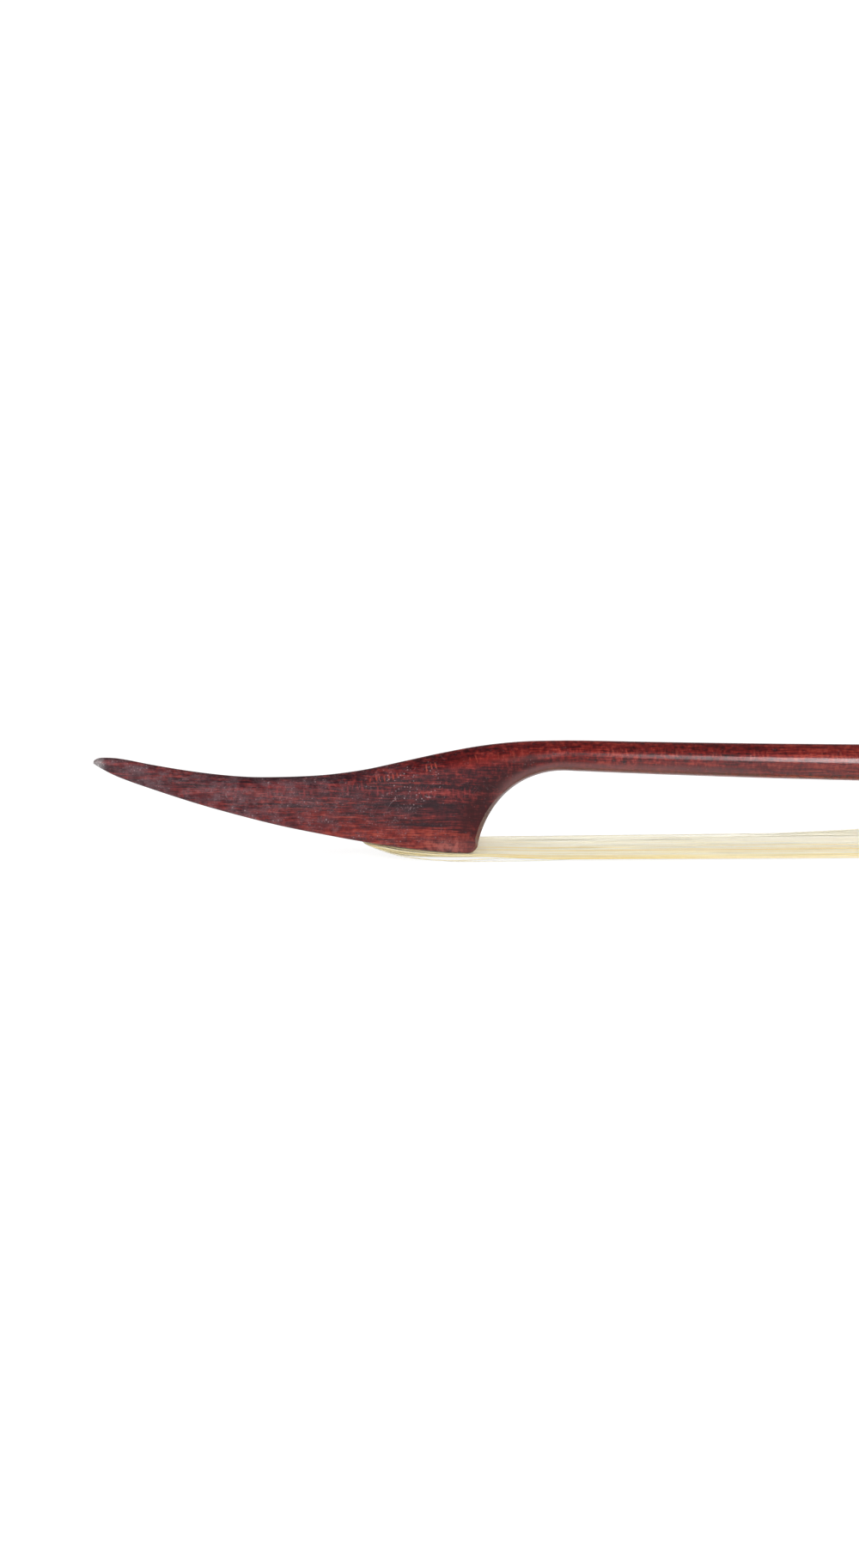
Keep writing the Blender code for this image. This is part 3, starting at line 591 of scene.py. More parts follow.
def figured_hardwood(name, darkness=0.0):
    wood = Finish(name, specular=0.16)
    wood.set("Coat Roughness", 0.16)
    spot = wood.spot()
    x, y, z = wood.parts(spot)
    facing_x, facing_z = wood.parts(wood.node("NewGeometry", {}, {}, "Normal"))[::2]
    grain = grain_height(x, z)
    head = x.fade(-0.279, -0.297)
    bill = x.fade(-0.31, -0.345)

    # Waves that bend the streaks a little
    grained = wood.vector(x, y, grain)
    layer = grain + (wood.noise(grained, (60, 200, 260)) - 0.5) * 0.0007
    layered = wood.vector(x, y, layer)

    # Broad bands, long streaks and short dashes along the grain, mottled across it
    bands = wood.noise(layered, (24, 380, 700))
    streaks = wood.noise(layered, (140, 1300, 3300), 2.0, 0.65)
    dashes = wood.noise(layered, (360, 1500, 3800), 2.0, 0.65)
    mottle = wood.noise(grained, (1500, 900, 900))
    fine = wood.noise(layered, (700, 3000, 7000), 1.0)
    calm = x.fade(-0.302, -0.288) * (1 - x.fade(-0.258, -0.236) * 0.5)
    tone = (
        0.5 + (bands - 0.5) * (0.8 - calm * 0.2) + (streaks - 0.5) * (1.05 - bill * 0.2 - calm * 0.45)
        + (dashes - 0.5) * (0.8 - calm * 0.25) + (mottle - 0.5) * (0.45 + calm * 0.45)
        + (fine - 0.5) * 0.55 + x.fade(-0.252, -0.232) * 0.1
        - x.between(-0.322, -0.308, -0.29, -0.276) * 0.05
    )
    warm = wood.ramp(
        tone, (0.2, 38, 8, 10), (0.36, 74, 13, 15), (0.5, 102, 20, 20), (0.64, 128, 32, 26),
        (0.84, 160, 58, 42),
    )
    cool = wood.ramp(
        tone, (0.2, 42, 19, 25), (0.36, 64, 27, 33), (0.5, 89, 34, 39), (0.64, 118, 43, 43),
        (0.84, 158, 70, 66),
    )
    above = above_crest(x, grain, FLECK_CREST)
    crown = above.fade(-0.0012, 0.0006) * x.fade(-0.314, -0.302)
    wood.color = wood.mix(head * (1 - crown * 0.75), warm, cool)
    glow = (
        x.between(-0.3, -0.294, -0.286, -0.279) * facing_z.fade(0.8, 0.55)
        * above.fade(-0.002, -0.0004) * (0.15 + mottle * 0.5)
    )
    wood.lay(glow, 150, 42, 30)

    # Redder wood low on the heel, a painted sheen of reflected light in pale dashes on its lower edge, and
    # a darker back corner
    low = (z - (HEEL_X - x) * 0.13).fade(0.0082, 0.0032) * x.fade(-0.338, -0.308)
    red = wood.ramp(tone, (0.2, 62, 18, 20), (0.4, 104, 28, 27), (0.56, 134, 41, 33), (0.8, 174, 76, 56))
    wood.color = wood.mix(low * 0.85, wood.color, red)
    # Painted sheen: pale pinkish dashes on the heel's rounded lower edge, standing in for reflected light
    sheen = x.between(-0.3045, -0.299, -0.2968, -0.2945) * z.fade(0.005, 0.0024)
    wood.lay(sheen * mottle.fade(0.3, 0.75) * 0.5, 198, 122, 110)
    corner = x.fade(-0.2972, -0.2944) * z.fade(0.012, 0.008)
    wood.lay(corner * 0.55, 84, 20, 22)

    # Blackish bands at their places in the head, broken up by the streaks
    dark = None
    for height, half, start, end, depth in DARK_BANDS:
        band = abs(layer - height).fade(half * 1.9, half * 0.2) * depth
        band = band * x.between(start - 0.003, start + 0.005, end - 0.003, end + 0.005)
        dark = dark.highest(band) if dark else band
    dark = dark * (0.35 + 0.65 * tone.fade(0.68, 0.38))
    wood.lay(dark.clamped(), 40, 22, 28)

    # Short flecks across the grain along the crests, and loose reddish ones elsewhere
    flecks = ray_flecks(wood, x, y, grain, FLECK_CREST, 0.00075, 0.00085)
    bill_flecks = ray_flecks(wood, x, y, grain, BILL_CREST, 0.0012, 0.00105)
    wood.lay(flecks * (0.4 + x.fade(-0.288, -0.302) * 0.45), 166, 68, 54)
    wood.lay(bill_flecks * 0.5, 156, 58, 60)
    wood.lay(mottle.fade(0.54, 0.66) * bands.fade(0.46, 0.58) * 0.34, 156, 58, 52)

    # Film of dust in the bill, and a pale tip that is partly dust and grit and partly a painted reflection
    film = wood.noise(spot, (330, 400, 640), 4.0, 0.75)
    dust = film.fade(0.36, 0.68)
    haze = x.fade(-0.296, -0.308)
    wood.lay(dust * (haze * 0.14 + bill * 0.3), 134, 106, 112)
    grit = wood.noise(spot, (4200, 4200, 4200), 1.0).fade(0.58, 0.7)
    wood.lay(grit * dust * (0.05 + haze * 0.26), 168, 140, 144)
    # The tip's near-white patch is grit and dust laid over a painted reflection
    tip_dust_and_reflection = x.fade(BILL_X + 0.0026, BILL_X + 0.0002) * (0.3 + grit * 0.9 + dust * 0.3)
    wood.lay(tip_dust_and_reflection.clamped(), 222, 220, 220)

    # Painted shade: darker colour along the top of the bow, which faces up, and on the sides of the stick
    wood.lay(facing_z.fade(0.55, 0.97) * 0.35, 44, 12, 15)
    # Painted shade on the sides of the stick, by the way they face
    side = facing_z.between(-0.55, -0.25, 0.3, 0.55) * x.fade(-0.262, -0.242)
    wood.lay(side * 0.34, 66, 20, 22)

    # Painted shade in the hollow of the throat, inside its chamfer: the colour goes darker there
    back = (x - NECK_X) * (1 / THROAT_LENGTH)
    up = (z - THROAT_Z) * (1 / (NECK_Z - NECK_DIAMETER / 2 - THROAT_Z))
    from_throat = (back * back + up * up) ** 0.5 - 1
    # Painted shade: darker colour in the hollow where the throat curves up to the neck
    throat = (
        (from_throat - up * 0.15).fade(0.32, 0.06) * up.fade(-0.05, 0.45) * back.fade(-0.12, -0.4)
        * (0.5 + tone.fade(0.66, 0.42) * 0.3)
    )
    wood.lay(throat, 50, 9, 13)

    # Painted reflection of the pale floor: lighter, smooth colour on the chamfer of the throat and on the
    # underside of the neck
    chamfers = facing_z.fade(0.06, -0.3).highest(facing_x.fade(0.12, 0.42))
    painted_reflection_stretch = x.between(HEEL_X - 0.003, HEEL_X - 0.0004, -0.256, -0.236)
    # Painted reflection: lighter colour where the surfaces face down and towards the floor
    wood.lay(chamfers * painted_reflection_stretch * (0.62 - facing_x.fade(0.45, 0.75) * 0.3), 120, 70, 68)

    # Handling marks: pale scratches, and specks of dust in the polish
    slant_x = x * 0.55 + z * 0.83
    slant_z = z * 0.55 - x * 0.83
    one_way = wood.noise(wood.vector(slant_x, y, slant_z), (260, 90, 700), 0.0)
    other_way = wood.noise(wood.vector(slant_z, y, slant_x), (240, 90, 640), 0.0)
    lines = abs(one_way - 0.5).fade(0.026, 0.006).highest(abs(other_way - 0.47).fade(0.022, 0.005))
    patch = wood.noise(spot, (420, 120, 460), 1.0).fade(0.57, 0.65)
    rubbed = x.between(-0.3115, -0.3065, -0.301, -0.2965) * z.between(0.009, 0.011, 0.0155, 0.0172)
    near_side = y.fade(0.001, -0.001)
    marks = lines * patch * near_side * (head * 0.06 + rubbed * 0.5 + bill * 0.04)
    cells = wood.node("TexVoronoi", {}, {"Vector": spot, "Scale": 1500.0})
    dots = (cells + (mottle - 0.5) * 0.3).fade(0.24, 0.1)
    specks = dots * (film.fade(0.44, 0.62) * (0.1 + haze * 0.32) + rubbed * 0.35)
    wood.lay(marks.highest(specks).clamped(), 192, 160, 162)
    if darkness:
        wood.lay(darkness, 30, 10, 11)

    # The polish is full on the stick, the chamfers and the heel, and thin on the cheeks
    heel = z.fade(0.005, 0.0028) * x.fade(-0.3045, -0.2985)
    polish = x.fade(-0.28, -0.262).highest(chamfers).highest(heel)
    thin = x.fade(-0.33, -0.305) * (1 - polish)
    wood.set("Coat Weight", (0.32 + polish * 0.42 - thin * 0.13) * (1 - dust * 0.25))
    roughness = 0.34 + dust * 0.14 + marks * 0.2 - flecks * 0.03
    return wood.finished(roughness, tone + flecks * 0.25 - marks * 0.6, 0.000014)


# Other finishes

def plug_wood():
    wood = Finish("pale_plug_wood", specular=0.3)
    spot = wood.spot()
    rings = wood.noise(spot, (120, 2400, 1500), 3.0)
    pores = wood.noise(spot, (900, 8000, 8000))
    wood.color = wood.ramp(
        rings * 0.75 + pores * 0.25, (0.35, 176, 134, 88), (0.52, 206, 170, 118), (0.68, 224, 192, 146),
    )
    return wood.finished(0.55 + pores * 0.15, rings * 0.4 + pores * 0.6, 0.00003)


# Deep, middle and pale colour of each tone of the hair
HAIR_TONES = {
    "cream": ((244, 232, 192), (250, 242, 211), (253, 249, 230)),
    "straw": ((238, 205, 122), (248, 226, 154), (252, 240, 192)),
    "pale": ((243, 237, 211), (251, 247, 227), (253, 252, 240)),
}


def horsehair(name, deep, middle, pale):
    """Hair of one tone, with lighter and darker stretches along each hair."""
    hair = Finish(name)
    hair.set("Sheen Weight", 0.8)
    hair.set("Sheen Roughness", 0.5)
    hair.set("Sheen Tint", (1.0, 0.98, 0.92))
    spot = hair.spot()
    along = hair.noise(spot, (30, 3600, 3600))
    locks = hair.noise(spot, (8, 900, 500))
    hair.color = hair.ramp(along * 0.6 + locks * 0.4, (0.34, *deep), (0.5, *middle), (0.64, *pale))
    at_head = hair.parts(spot)[0].fade(-0.284, -0.3)
    hair.lay(at_head * 0.5, 244, 231, 188)
    return hair.finished(0.36 + along * 0.16)


def rosin_set_hair():
    rosin = Finish("rosin_set_hair")
    spot = rosin.spot()
    clouds = rosin.noise(spot, (1400, 1400, 1400), 3.0)
    strands = rosin.noise(spot, (500, 6000, 6000))
    rosin.color = rosin.ramp(
        clouds * 0.5 + strands * 0.5, (0.36, 66, 34, 14), (0.5, 112, 66, 26), (0.64, 168, 118, 58),
    )
    return rosin.finished(0.2 + clouds * 0.3, strands, 0.00003)


def linen_thread():
    thread = Finish("linen_thread", specular=0.2)
    fibres = thread.noise(thread.spot(), (5200, 5200, 5200), 3.0)
    thread.color = thread.ramp(fibres, (0.35, 190, 178, 150), (0.55, 222, 212, 186), (0.7, 236, 228, 206))
    return thread.finished(0.72 + fibres * 0.2, fibres, 0.00003)


def filed_metal(name, pale, dark, stains):
    """Metal with fine file marks round it and stains where it has been handled."""
    metal = Finish(name, metallic=1.0)
    spot = metal.spot()
    marks = metal.noise(spot, (9000, 700, 700), 3.0)
    clouds = metal.noise(spot, (600, 600, 600), 4.0)
    metal.color = metal.mix(marks, shade(*dark), shade(*pale))
    metal.lay(clouds.fade(0.5, 0.68) * 0.6, *stains)
    return metal.finished(0.22 + marks * 0.12 + clouds * 0.18, marks, 0.000006)


def turned_bone():
    bone = Finish("turned_bone", specular=0.45)
    spot = bone.spot()
    x, y, z = bone.parts(spot)
    canals = bone.noise(spot, (420, 5200, 5200)).fade(0.6, 0.72)
    clouds = bone.noise(spot, (180, 240, 240), 3.0)
    bone.color = bone.ramp(clouds, (0.34, 214, 196, 156), (0.52, 232, 220, 190), (0.68, 241, 233, 211))
    bone.lay(canals * 0.45, 168, 140, 98)
    # Darker colour where the button is narrower, deeper towards the axis
    off_axis = z - HANDLE_Z
    reach = (y * y + off_axis * off_axis) ** 0.5
    groove = reach.fade(0.0042, 0.0026) * x.fade(BUTTON_START_X, BUTTON_START_X + 0.001)
    bone.lay(groove * (0.15 + clouds * 0.35), 150, 120, 80)
    return bone.finished(0.28 + clouds * 0.14 + canals * 0.1, 1 - canals, 0.00001)


# Stick and head

# Places round half a section, from the underside (0) to the top (12)
HALF_SECTION = (
    0.0, 0.6, 1.2, 1.804, 2.0, 2.098, 2.4, 2.7, 3.0, 3.3, 3.6, 3.902, 4.0, 4.196, 4.7, 5.2, 5.7,
    6.2, 6.7, 7.25, 7.804, 8.0, 8.098, 8.5, 8.9, 9.3, 9.6, 9.902, 10.0, 10.196, 10.8, 11.4, 12.0,
)
FACETED_DEGREES = (-90, -78.75, -67.5, -45, -22.5, -11.25, 0, 11.25, 22.5, 45, 67.5, 78.75, 90)


def plain_angle(place):
    return radians(-90 + 15 * place)


def faceted_angle(place):
    """Angle that sets the same place on the handle's octagon, with places on its corners."""
    i = min(int(place), 11)
    return radians(lerp(FACETED_DEGREES[i], FACETED_DEGREES[i + 1], place - i))


def octagon_reach(angle):
    """Distance from the axis to a unit octagon's side, with the corners a little eased."""
    off_flat = (angle + pi / 8) % (pi / 4) - pi / 8
    return min(1 / cos(off_flat), FACET_EASE / cos(pi / 8))


def whole_ring(half, place):
    """Close half a ring of (y, height) places at y = 0, mirror it in Y and set it in the bow."""
    half[0], half[-1] = (0.0, half[0][1]), (0.0, half[-1][1])
    mirrored = [(-y, h) for y, h in reversed(half[1:-1])]
    return [place(y, h) for y, h in half + mirrored]


def stick_axis(t):
    """Height of the slack stick's axis from the neck (0), where it slopes, to the handle (1)."""
    return cubic(t, NECK_Z, -NECK_SLOPE * STICK_RUN, HANDLE_Z, 0.0)


def stick_ring(x, faceted):
    """A section of the stick, which goes from a circle to an octagon as faceted goes to 1."""
    t = clamp((x - NECK_X) / STICK_RUN)
    radius, axis = lerp(HANDLE_WIDTH, NECK_DIAMETER, (1 - t) ** STICK_TAPER) / 2, stick_axis(t)
    half = []
    for place in HALF_SECTION:
        angle = lerp(plain_angle(place), faceted_angle(place), faceted)
        reach = radius * lerp(1.0, octagon_reach(angle), faceted)
        half.append((reach * cos(angle), reach * sin(angle)))
    return whole_ring(half, lambda y, h: (x, y, axis + h))


ridge_height = smooth_curve(RIDGE)
underside_height = smooth_curve(UNDERSIDE)
underside_width = smooth_curve(UNDERSIDE_WIDTH)
ridge_width = smooth_curve(RIDGE_WIDTH)
ridge_pairing = smooth_curve(RIDGE_PAIRING)


def head_underside(x):
    """Height of the head's underside, level past the heel."""
    return HEEL_Z + HEAD_HEIGHT * underside_height((x - BILL_X) / HEAD_LENGTH)


def head_ridge(share):
    return Vector((BILL_X + HEAD_LENGTH * share, HEEL_Z + HEAD_HEIGHT * ridge_height(share)))


def head_ring(base, top, half_base, half_top, edge, flatness, roundness):
    """A section of the head in the tilted plane from base to top, both (x, z) places.

    Its lower corners are round at a flatness of 0 and flat chamfers at 1. Its form
    goes from the head's to the neck's circle as roundness goes from 0 to 1.
    """
    up = (top - base).normalized()
    height = (top - base).length
    dome = min(half_top, 0.5 * height)
    edge = min(edge, 0.3 * height, 0.6 * half_base)
    half = []
    for place in HALF_SECTION:
        if place <= 2:
            y, h = (half_base - edge) * place / 2, 0.0
        elif place <= 3:
            turn = radians(90 * (place - 2))
            y = half_base - edge + edge * lerp(sin(turn), place - 2, flatness)
            h = edge * lerp(1 - cos(turn), place - 2, flatness)
        elif place <= 8:
            share = (place - 3) / 5
            y = lerp(half_top, half_base, (1 - share) ** CHEEK_HOLLOW)
            h = lerp(edge, height - dome, share)
        else:
            turn = radians(22.5 * (place - 8))
            y, h = half_top * cos(turn), height - dome + dome * sin(turn)
        angle = plain_angle(place)
        half.append((
            lerp(y, height / 2 * cos(angle), roundness),
            lerp(h, height / 2 * (1 + sin(angle)), roundness),
        ))

    def set_in_plane(y, h):
        spot = base + up * h
        return spot.x, y, spot.y

    return whole_ring(half, set_in_plane)


def bill_rings():
    """Sections from the rounded end of the bill to the start of the heel's corner."""
    flat = (HEAD_LENGTH - HEEL_RADIUS) / HEAD_LENGTH
    nose = BILL_ROUNDING / HEAD_LENGTH
    shares = [nose * (1 - cos(radians(turn))) for turn in range(10, 90, 10)]
    shares += [lerp(nose, flat, (i / BILL_STATIONS) ** 1.15) for i in range(BILL_STATIONS + 1)]
    rings = []
    for share in shares:
        fullness = half_chord(max(1 - share / nose, 0.0))
        x = BILL_X + HEAD_LENGTH * share
        base = Vector((x, head_underside(x)))
        top = lerp(base, head_ridge(ridge_pairing(share)), fullness)
        spread = HEEL_WIDTH / 2 * lerp(BILL_END_WIDTH, 1.0, fullness)
        rings.append(head_ring(
            base, top, spread * underside_width(share), spread * ridge_width(share), BILL_EDGE, 0.0, 0.0,
        ))
    return rings


def throat_rings():
    """Sections round the heel's corner and up the throat to the neck."""
    half_base, half_top = HEEL_WIDTH / 2, HEEL_WIDTH / 2 * ridge_width(1.0)
    neck_radius = NECK_DIAMETER / 2
    first = ridge_pairing(1.0)
    second = first + 0.01
    last = 1 + THROAT_LENGTH / HEAD_LENGTH
    rings = []
    for turn in range(10, 100, 10):
        angle = radians(turn)
        base = Vector((HEEL_X - HEEL_RADIUS * (1 - sin(angle)), HEEL_Z + HEEL_RADIUS * (1 - cos(angle))))
        edge = lerp(BILL_EDGE, THROAT_CHAMFER, turn / 90)
        top = head_ridge(lerp(first, second, turn / 90))
        rings.append(head_ring(base, top, half_base, half_top, edge, turn / 90, 0.0))
    # The throat rises almost straight from the heel and runs out along the neck
    start = Vector((HEEL_X, THROAT_Z))
    end = Vector((NECK_X, NECK_Z - neck_radius))
    start_slope = 3 * Vector((THROAT_LENGTH * 0.083, (end.y - start.y) * 0.46))
    end_slope = 3 * Vector((THROAT_LENGTH * 0.60, -THROAT_LENGTH * 0.60 * NECK_SLOPE))
    for i in range(1, THROAT_STATIONS + 1):
        t = i / THROAT_STATIONS
        rings.append(head_ring(
            cubic(t, start, start_slope, end, end_slope),
            head_ridge(lerp(second, last, (smooth_step(t) + t) / 2)),
            lerp(half_base, neck_radius, smooth_step(t**0.8)), lerp(half_top, neck_radius, t),
            THROAT_CHAMFER, 1.0, smooth_step(t),
        ))
    return rings


def make_stick(finish):
    rings = bill_rings() + throat_rings()
    facets_x = HANDLE_X - FACET_RUN_OUT
    for i in range(1, STICK_STATIONS + 1):
        rings.append(stick_ring(lerp(NECK_X, facets_x, i / STICK_STATIONS), 0.0))
    for i in range(1, FACET_STATIONS + 1):
        t = i / FACET_STATIONS
        rings.append(stick_ring(lerp(facets_x, HANDLE_X, t), smooth_step(t)))
    for i in range(1, HANDLE_STATIONS + 1):
        rings.append(stick_ring(lerp(HANDLE_X, STICK_END_X, i / HANDLE_STATIONS), 1.0))
    slot_half = EYELET_WIDTH / 2 + CLEARANCE
    slot_roof = HANDLE_Z + SCREW_DIAMETER / 2 + CLEARANCE + EYELET_WALL + CLEARANCE
    slot = box_mesh(
        (SLOT_START_X, -slot_half, HANDLE_Z - HANDLE_WIDTH), (SLOT_END_X, slot_half, slot_roof),
    )
    bore = bored(SLOT_START_X - SCREW_NOSE_LENGTH - CLEARANCE, STICK_END_X + BUTTON_LENGTH)
    make_piece(
        "carved_stick", loft(rings), finish, "stick", "stick",
        (HEAD_MORTISE.block(), slot, bore),
    )


# Mortises, plugs, knots and bound threads

class Mortise:
    """A pocket in the wood; inward is +1 or -1 along X, from the wall where the hair turns up."""

    def __init__(self, wall_x, inward, underside, width):
        self.wall_x = wall_x
        self.inward = inward
        self.far_x = wall_x + inward * MORTISE_LENGTH
        self.mouth_z = underside(wall_x)
        self.far_mouth_z = underside(self.far_x)
        self.roof_z = self.mouth_z + PLUG_DEPTH + CLEARANCE + KNOT_ROOM
        self.half = width / 2
        self.axis_z = self.roof_z - KNOT_ROOM / 2

    def block(self):
        """The block of wood that is cut out."""
        start, end = sorted((self.wall_x, self.far_x))
        low_z = min(self.mouth_z, self.far_mouth_z) - HAIR_THICKNESS
        return box_mesh((start, -self.half, low_z), (end, self.half, self.roof_z))


HEAD_MORTISE = Mortise(HEEL_X - HAIR_EXIT, 1, head_underside, HEAD_MORTISE_WIDTH)
FROG_MORTISE = Mortise(
    FROG_X + FROG_MORTISE_START + MORTISE_LENGTH, -1, lambda x: CHANNEL_ROOF_Z, FROG_MORTISE_WIDTH,
)


def make_plug(side, mortise, body, finish):
    """Plug that fills a mortise's mouth behind the hair, with eased edges."""
    inward = mortise.inward
    near = mortise.wall_x + inward * (HAIR_THICKNESS + 2 * CLEARANCE)
    far = mortise.far_x - inward * CLEARANCE
    top = mortise.mouth_z + PLUG_DEPTH
    ease = PLUG_NOSE * PLUG_DEPTH
    outline = [
        (near + inward * ease, mortise.mouth_z), (near, mortise.mouth_z + ease), (near, top - ease),
        (near + inward * ease, top), (far, top), (far, mortise.far_mouth_z),
    ]
    half = mortise.half - CLEARANCE
    mesh = loft([[(x, y, z) for x, z in outline] for y in (-half, half)])
    plug = make_piece("wooden_plug_in_" + side, mesh, finish, body, side + "_plug")
    edges = plug.modifiers.new("eased_edges", "BEVEL")
    edges.width = PLUG_EDGE
    edges.segments = 3
    edges.limit_method = "ANGLE"
    apply_step(plug, edges, 60)


def make_knot(side, mortise, body, finish):
    """Knot of hair set in rosin: a rounded lump ridged by the hairs that it holds."""
    start = mortise.wall_x + mortise.inward * (BUNDLE_REACH + CLEARANCE)
    rings = []
    for row in range(KNOT_ROWS + 1):
        t = row / KNOT_ROWS
        x = start + mortise.inward * KNOT_LENGTH * t
        radius = WOUND_DIAMETER / 2 * lerp(KNOT_END_SHARE, 1.0, half_chord(2 * t - 1))
        ring = []
        for angle in around(KNOT_SIDES):
            ridges = KNOT_RIDGE * (1 + cos(12 * angle + 2.5 * t)) / 2
            dents = KNOT_DENT * sin(3 * angle + 5 * t) ** 2
            ring.append(about_axis(x, radius * (1 - ridges - dents), angle, mortise.axis_z))
        rings.append(ring)
    name = "rosin_knot_in_" + side
    make_piece(name, loft(rings, 60), finish, body, side + "_knot")


def make_bound_thread(side, mortise, body, finish):
    """Two-ply thread wound round the bundle of hair, with its plies twisted."""
    radius = (BUNDLE_DIAMETER + THREAD_DIAMETER) / 2 + CLEARANCE
    first_x = mortise.wall_x + mortise.inward * (BUNDLE_REACH - THREAD_DIAMETER)
    rings = []
    for step in range(THREAD_TURNS * COIL_STEPS + 1):
        turns = step / COIL_STEPS
        x = first_x - mortise.inward * turns * 2 * THREAD_DIAMETER
        ring = []
        for angle in around(COIL_SIDES):
            ply = lerp(PLY_WAIST, 1.0, abs(cos(angle - PLY_TWISTS * tau * turns)))
            reach = THREAD_DIAMETER / 2 * ply
            out = radius + reach * cos(angle)
            ring.append(about_axis(x + reach * sin(angle), out, tau * turns, mortise.axis_z))
        rings.append(ring)
    name = "bound_thread_in_" + side
    make_piece(name, loft(rings, 80), finish, body, side + "_knot_thread")


# Horsehair

STRANDS = 250  # in the band, besides the loose hairs of its edges, the wisp and the fallen ones
LOOSE_STRANDS = 16
WISP_STRANDS = 9
FALLEN_STRANDS = 2
STRAW_BELOW = 0.30  # tones of the strands: straw, cream, then pale
CREAM_BELOW = 0.68
STRAND_DIAMETER = 0.00022
HAIR_BULGE = 0.0008
PRESSED_THICKNESS = 0.00065
PRESSED_WIDTH = 0.0094
PRESSED_GAP = 0.00008
SPREAD_LENGTH = 0.016
FAR_EDGE_LIFT = 0.00035
STRAND_SIDES = 4
RUN_STEPS = 5
FOLD_STEPS = 3
FREE_STATIONS = 34
BAND_EDGE = 0.985  # how far a hair may go to the band's edge and to its face, as shares
BAND_FACE = 0.9

# Ranges of each hair's two slow waves: size across and in depth, length and phase
WAVES = (
    ((0.01, 0.05), (0.1, 0.4), (0.16, 0.60), (0, tau)),
    ((0.004, 0.014), (0.0, 0.2), (0.05, 0.14), (0, tau)),
)
# Ranges of a hair that strays from the band: distance to the side, start, length and lift
ODD_STRAY = ((0.0002, 0.0007), (-0.29, 0.1), (0.08, 0.25), (0.0, 0.0006))
LOOSE_STRAY = ((0.0002, 0.0009), (-0.34, -0.27), (0.25, 0.60), (0.0001, 0.0007))
WISP_STRAY = ((0.0004, 0.0014), (-0.262, -0.246), (0.12, 0.30), (0.0010, 0.0026))
FALLEN_STRAY = ((-0.0011, -0.0007), (-0.317, -0.314), (0.032, 0.044), (-0.0006, -0.0003))


def folded_stretch(mortise, run, sizes, turn_x, turn_z):
    """Stations of the hair that runs under the wood, turns up and folds back to its knot.

    The hair starts to turn at turn_x and turn_z, where it is as wide as the mortise lets it.
    """
    run = run + [(turn_x, turn_z)]
    sizes = sizes + [(2 * (mortise.half - CLEARANCE), HAIR_THICKNESS)]
    half = HAIR_THICKNESS / 2
    up_x = mortise.wall_x + mortise.inward * (CLEARANCE + half)
    fold = [
        (up_x + mortise.inward * away * half, lerp(mortise.mouth_z, mortise.axis_z, height))
        for away, height in ((0.1, 0.16), (0.0, 0.45), (0.2, 0.78), (1.7, 1.0))
    ]
    path = smooth_path(run + fold, FOLD_STEPS)
    path.append(Vector((mortise.wall_x + mortise.inward * BUNDLE_REACH, mortise.axis_z)))
    run_steps = (len(run) - 1) * FOLD_STEPS
    fold_steps = len(path) - 2 - run_steps
    across, through = (smooth_curve(list(enumerate(row))) for row in zip(*sizes))
    stations = []
    for i, spot in enumerate(path):
        t = smooth_step((i - run_steps) / fold_steps)
        place = min(i, run_steps) / FOLD_STEPS
        stations.append((
            spot, lerp(across(place), BUNDLE_DIAMETER, t), lerp(through(place), BUNDLE_DIAMETER, t**3), t,
        ))
    return stations


def hair_stations():
    """The hair's way from knot to knot: place, width, thickness and how far it is gathered."""
    shares = [i / RUN_STEPS for i in range(RUN_STEPS + 1)]
    # From the heel to the head's mortise, swelling where the wood lets go of it
    wall_x = HEAD_MORTISE.wall_x
    run, sizes = [], []
    for t in shares:
        x = lerp(HEEL_X + CLEARANCE, wall_x + 2.1 * HAIR_THICKNESS, t)
        thickness = lerp(PRESSED_THICKNESS, HAIR_THICKNESS, t) + HAIR_BULGE * sin(pi * t**2.2)
        run.append((x, head_underside(x) - PRESSED_GAP - thickness / 2))
        sizes.append((lerp(PRESSED_WIDTH, HEAD_MORTISE_WIDTH + HAIR_THICKNESS, t**2), thickness))
    turn_x, turn_z = wall_x + 0.9 * HAIR_THICKNESS, HEAD_MORTISE.mouth_z - CLEARANCE
    stations = folded_stretch(HEAD_MORTISE, run, sizes, turn_x, turn_z)[::-1]

    # The free hair, pressed thin by the heel
    level = CLEARANCE + HAIR_THICKNESS / 2
    start = Vector((HEEL_X + CLEARANCE, HEEL_Z - level))
    pressed_z = HEEL_Z - PRESSED_GAP - PRESSED_THICKNESS / 2
    for i in range(1, FREE_STATIONS):
        share = (i / FREE_STATIONS) ** 1.8
        spot = lerp(start, Vector((FROG_X, level)), share)
        spread = smooth_step((spot.x - HEEL_X) / SPREAD_LENGTH)
        spot.y = lerp(pressed_z, spot.y, spread)
        width = lerp(PRESSED_WIDTH, lerp(HAIR_WIDTH_AT_HEAD, HAIR_WIDTH_AT_FROG, share), spread)
        stations.append((spot, width, lerp(PRESSED_THICKNESS, HAIR_THICKNESS, spread), 0.0))

    # In the frog's channel
    wall_x = FROG_MORTISE.wall_x
    run = [(lerp(FROG_X, wall_x - 2.4 * HAIR_THICKNESS, t), level) for t in shares]
    sizes = [(lerp(HAIR_WIDTH_AT_FROG, FROG_MORTISE_WIDTH, t**4), HAIR_THICKNESS) for t in shares]
    turn_x, turn_z = wall_x - 1.3 * HAIR_THICKNESS, level + CLEARANCE
    return stations + folded_stretch(FROG_MORTISE, run, sizes, turn_x, turn_z)


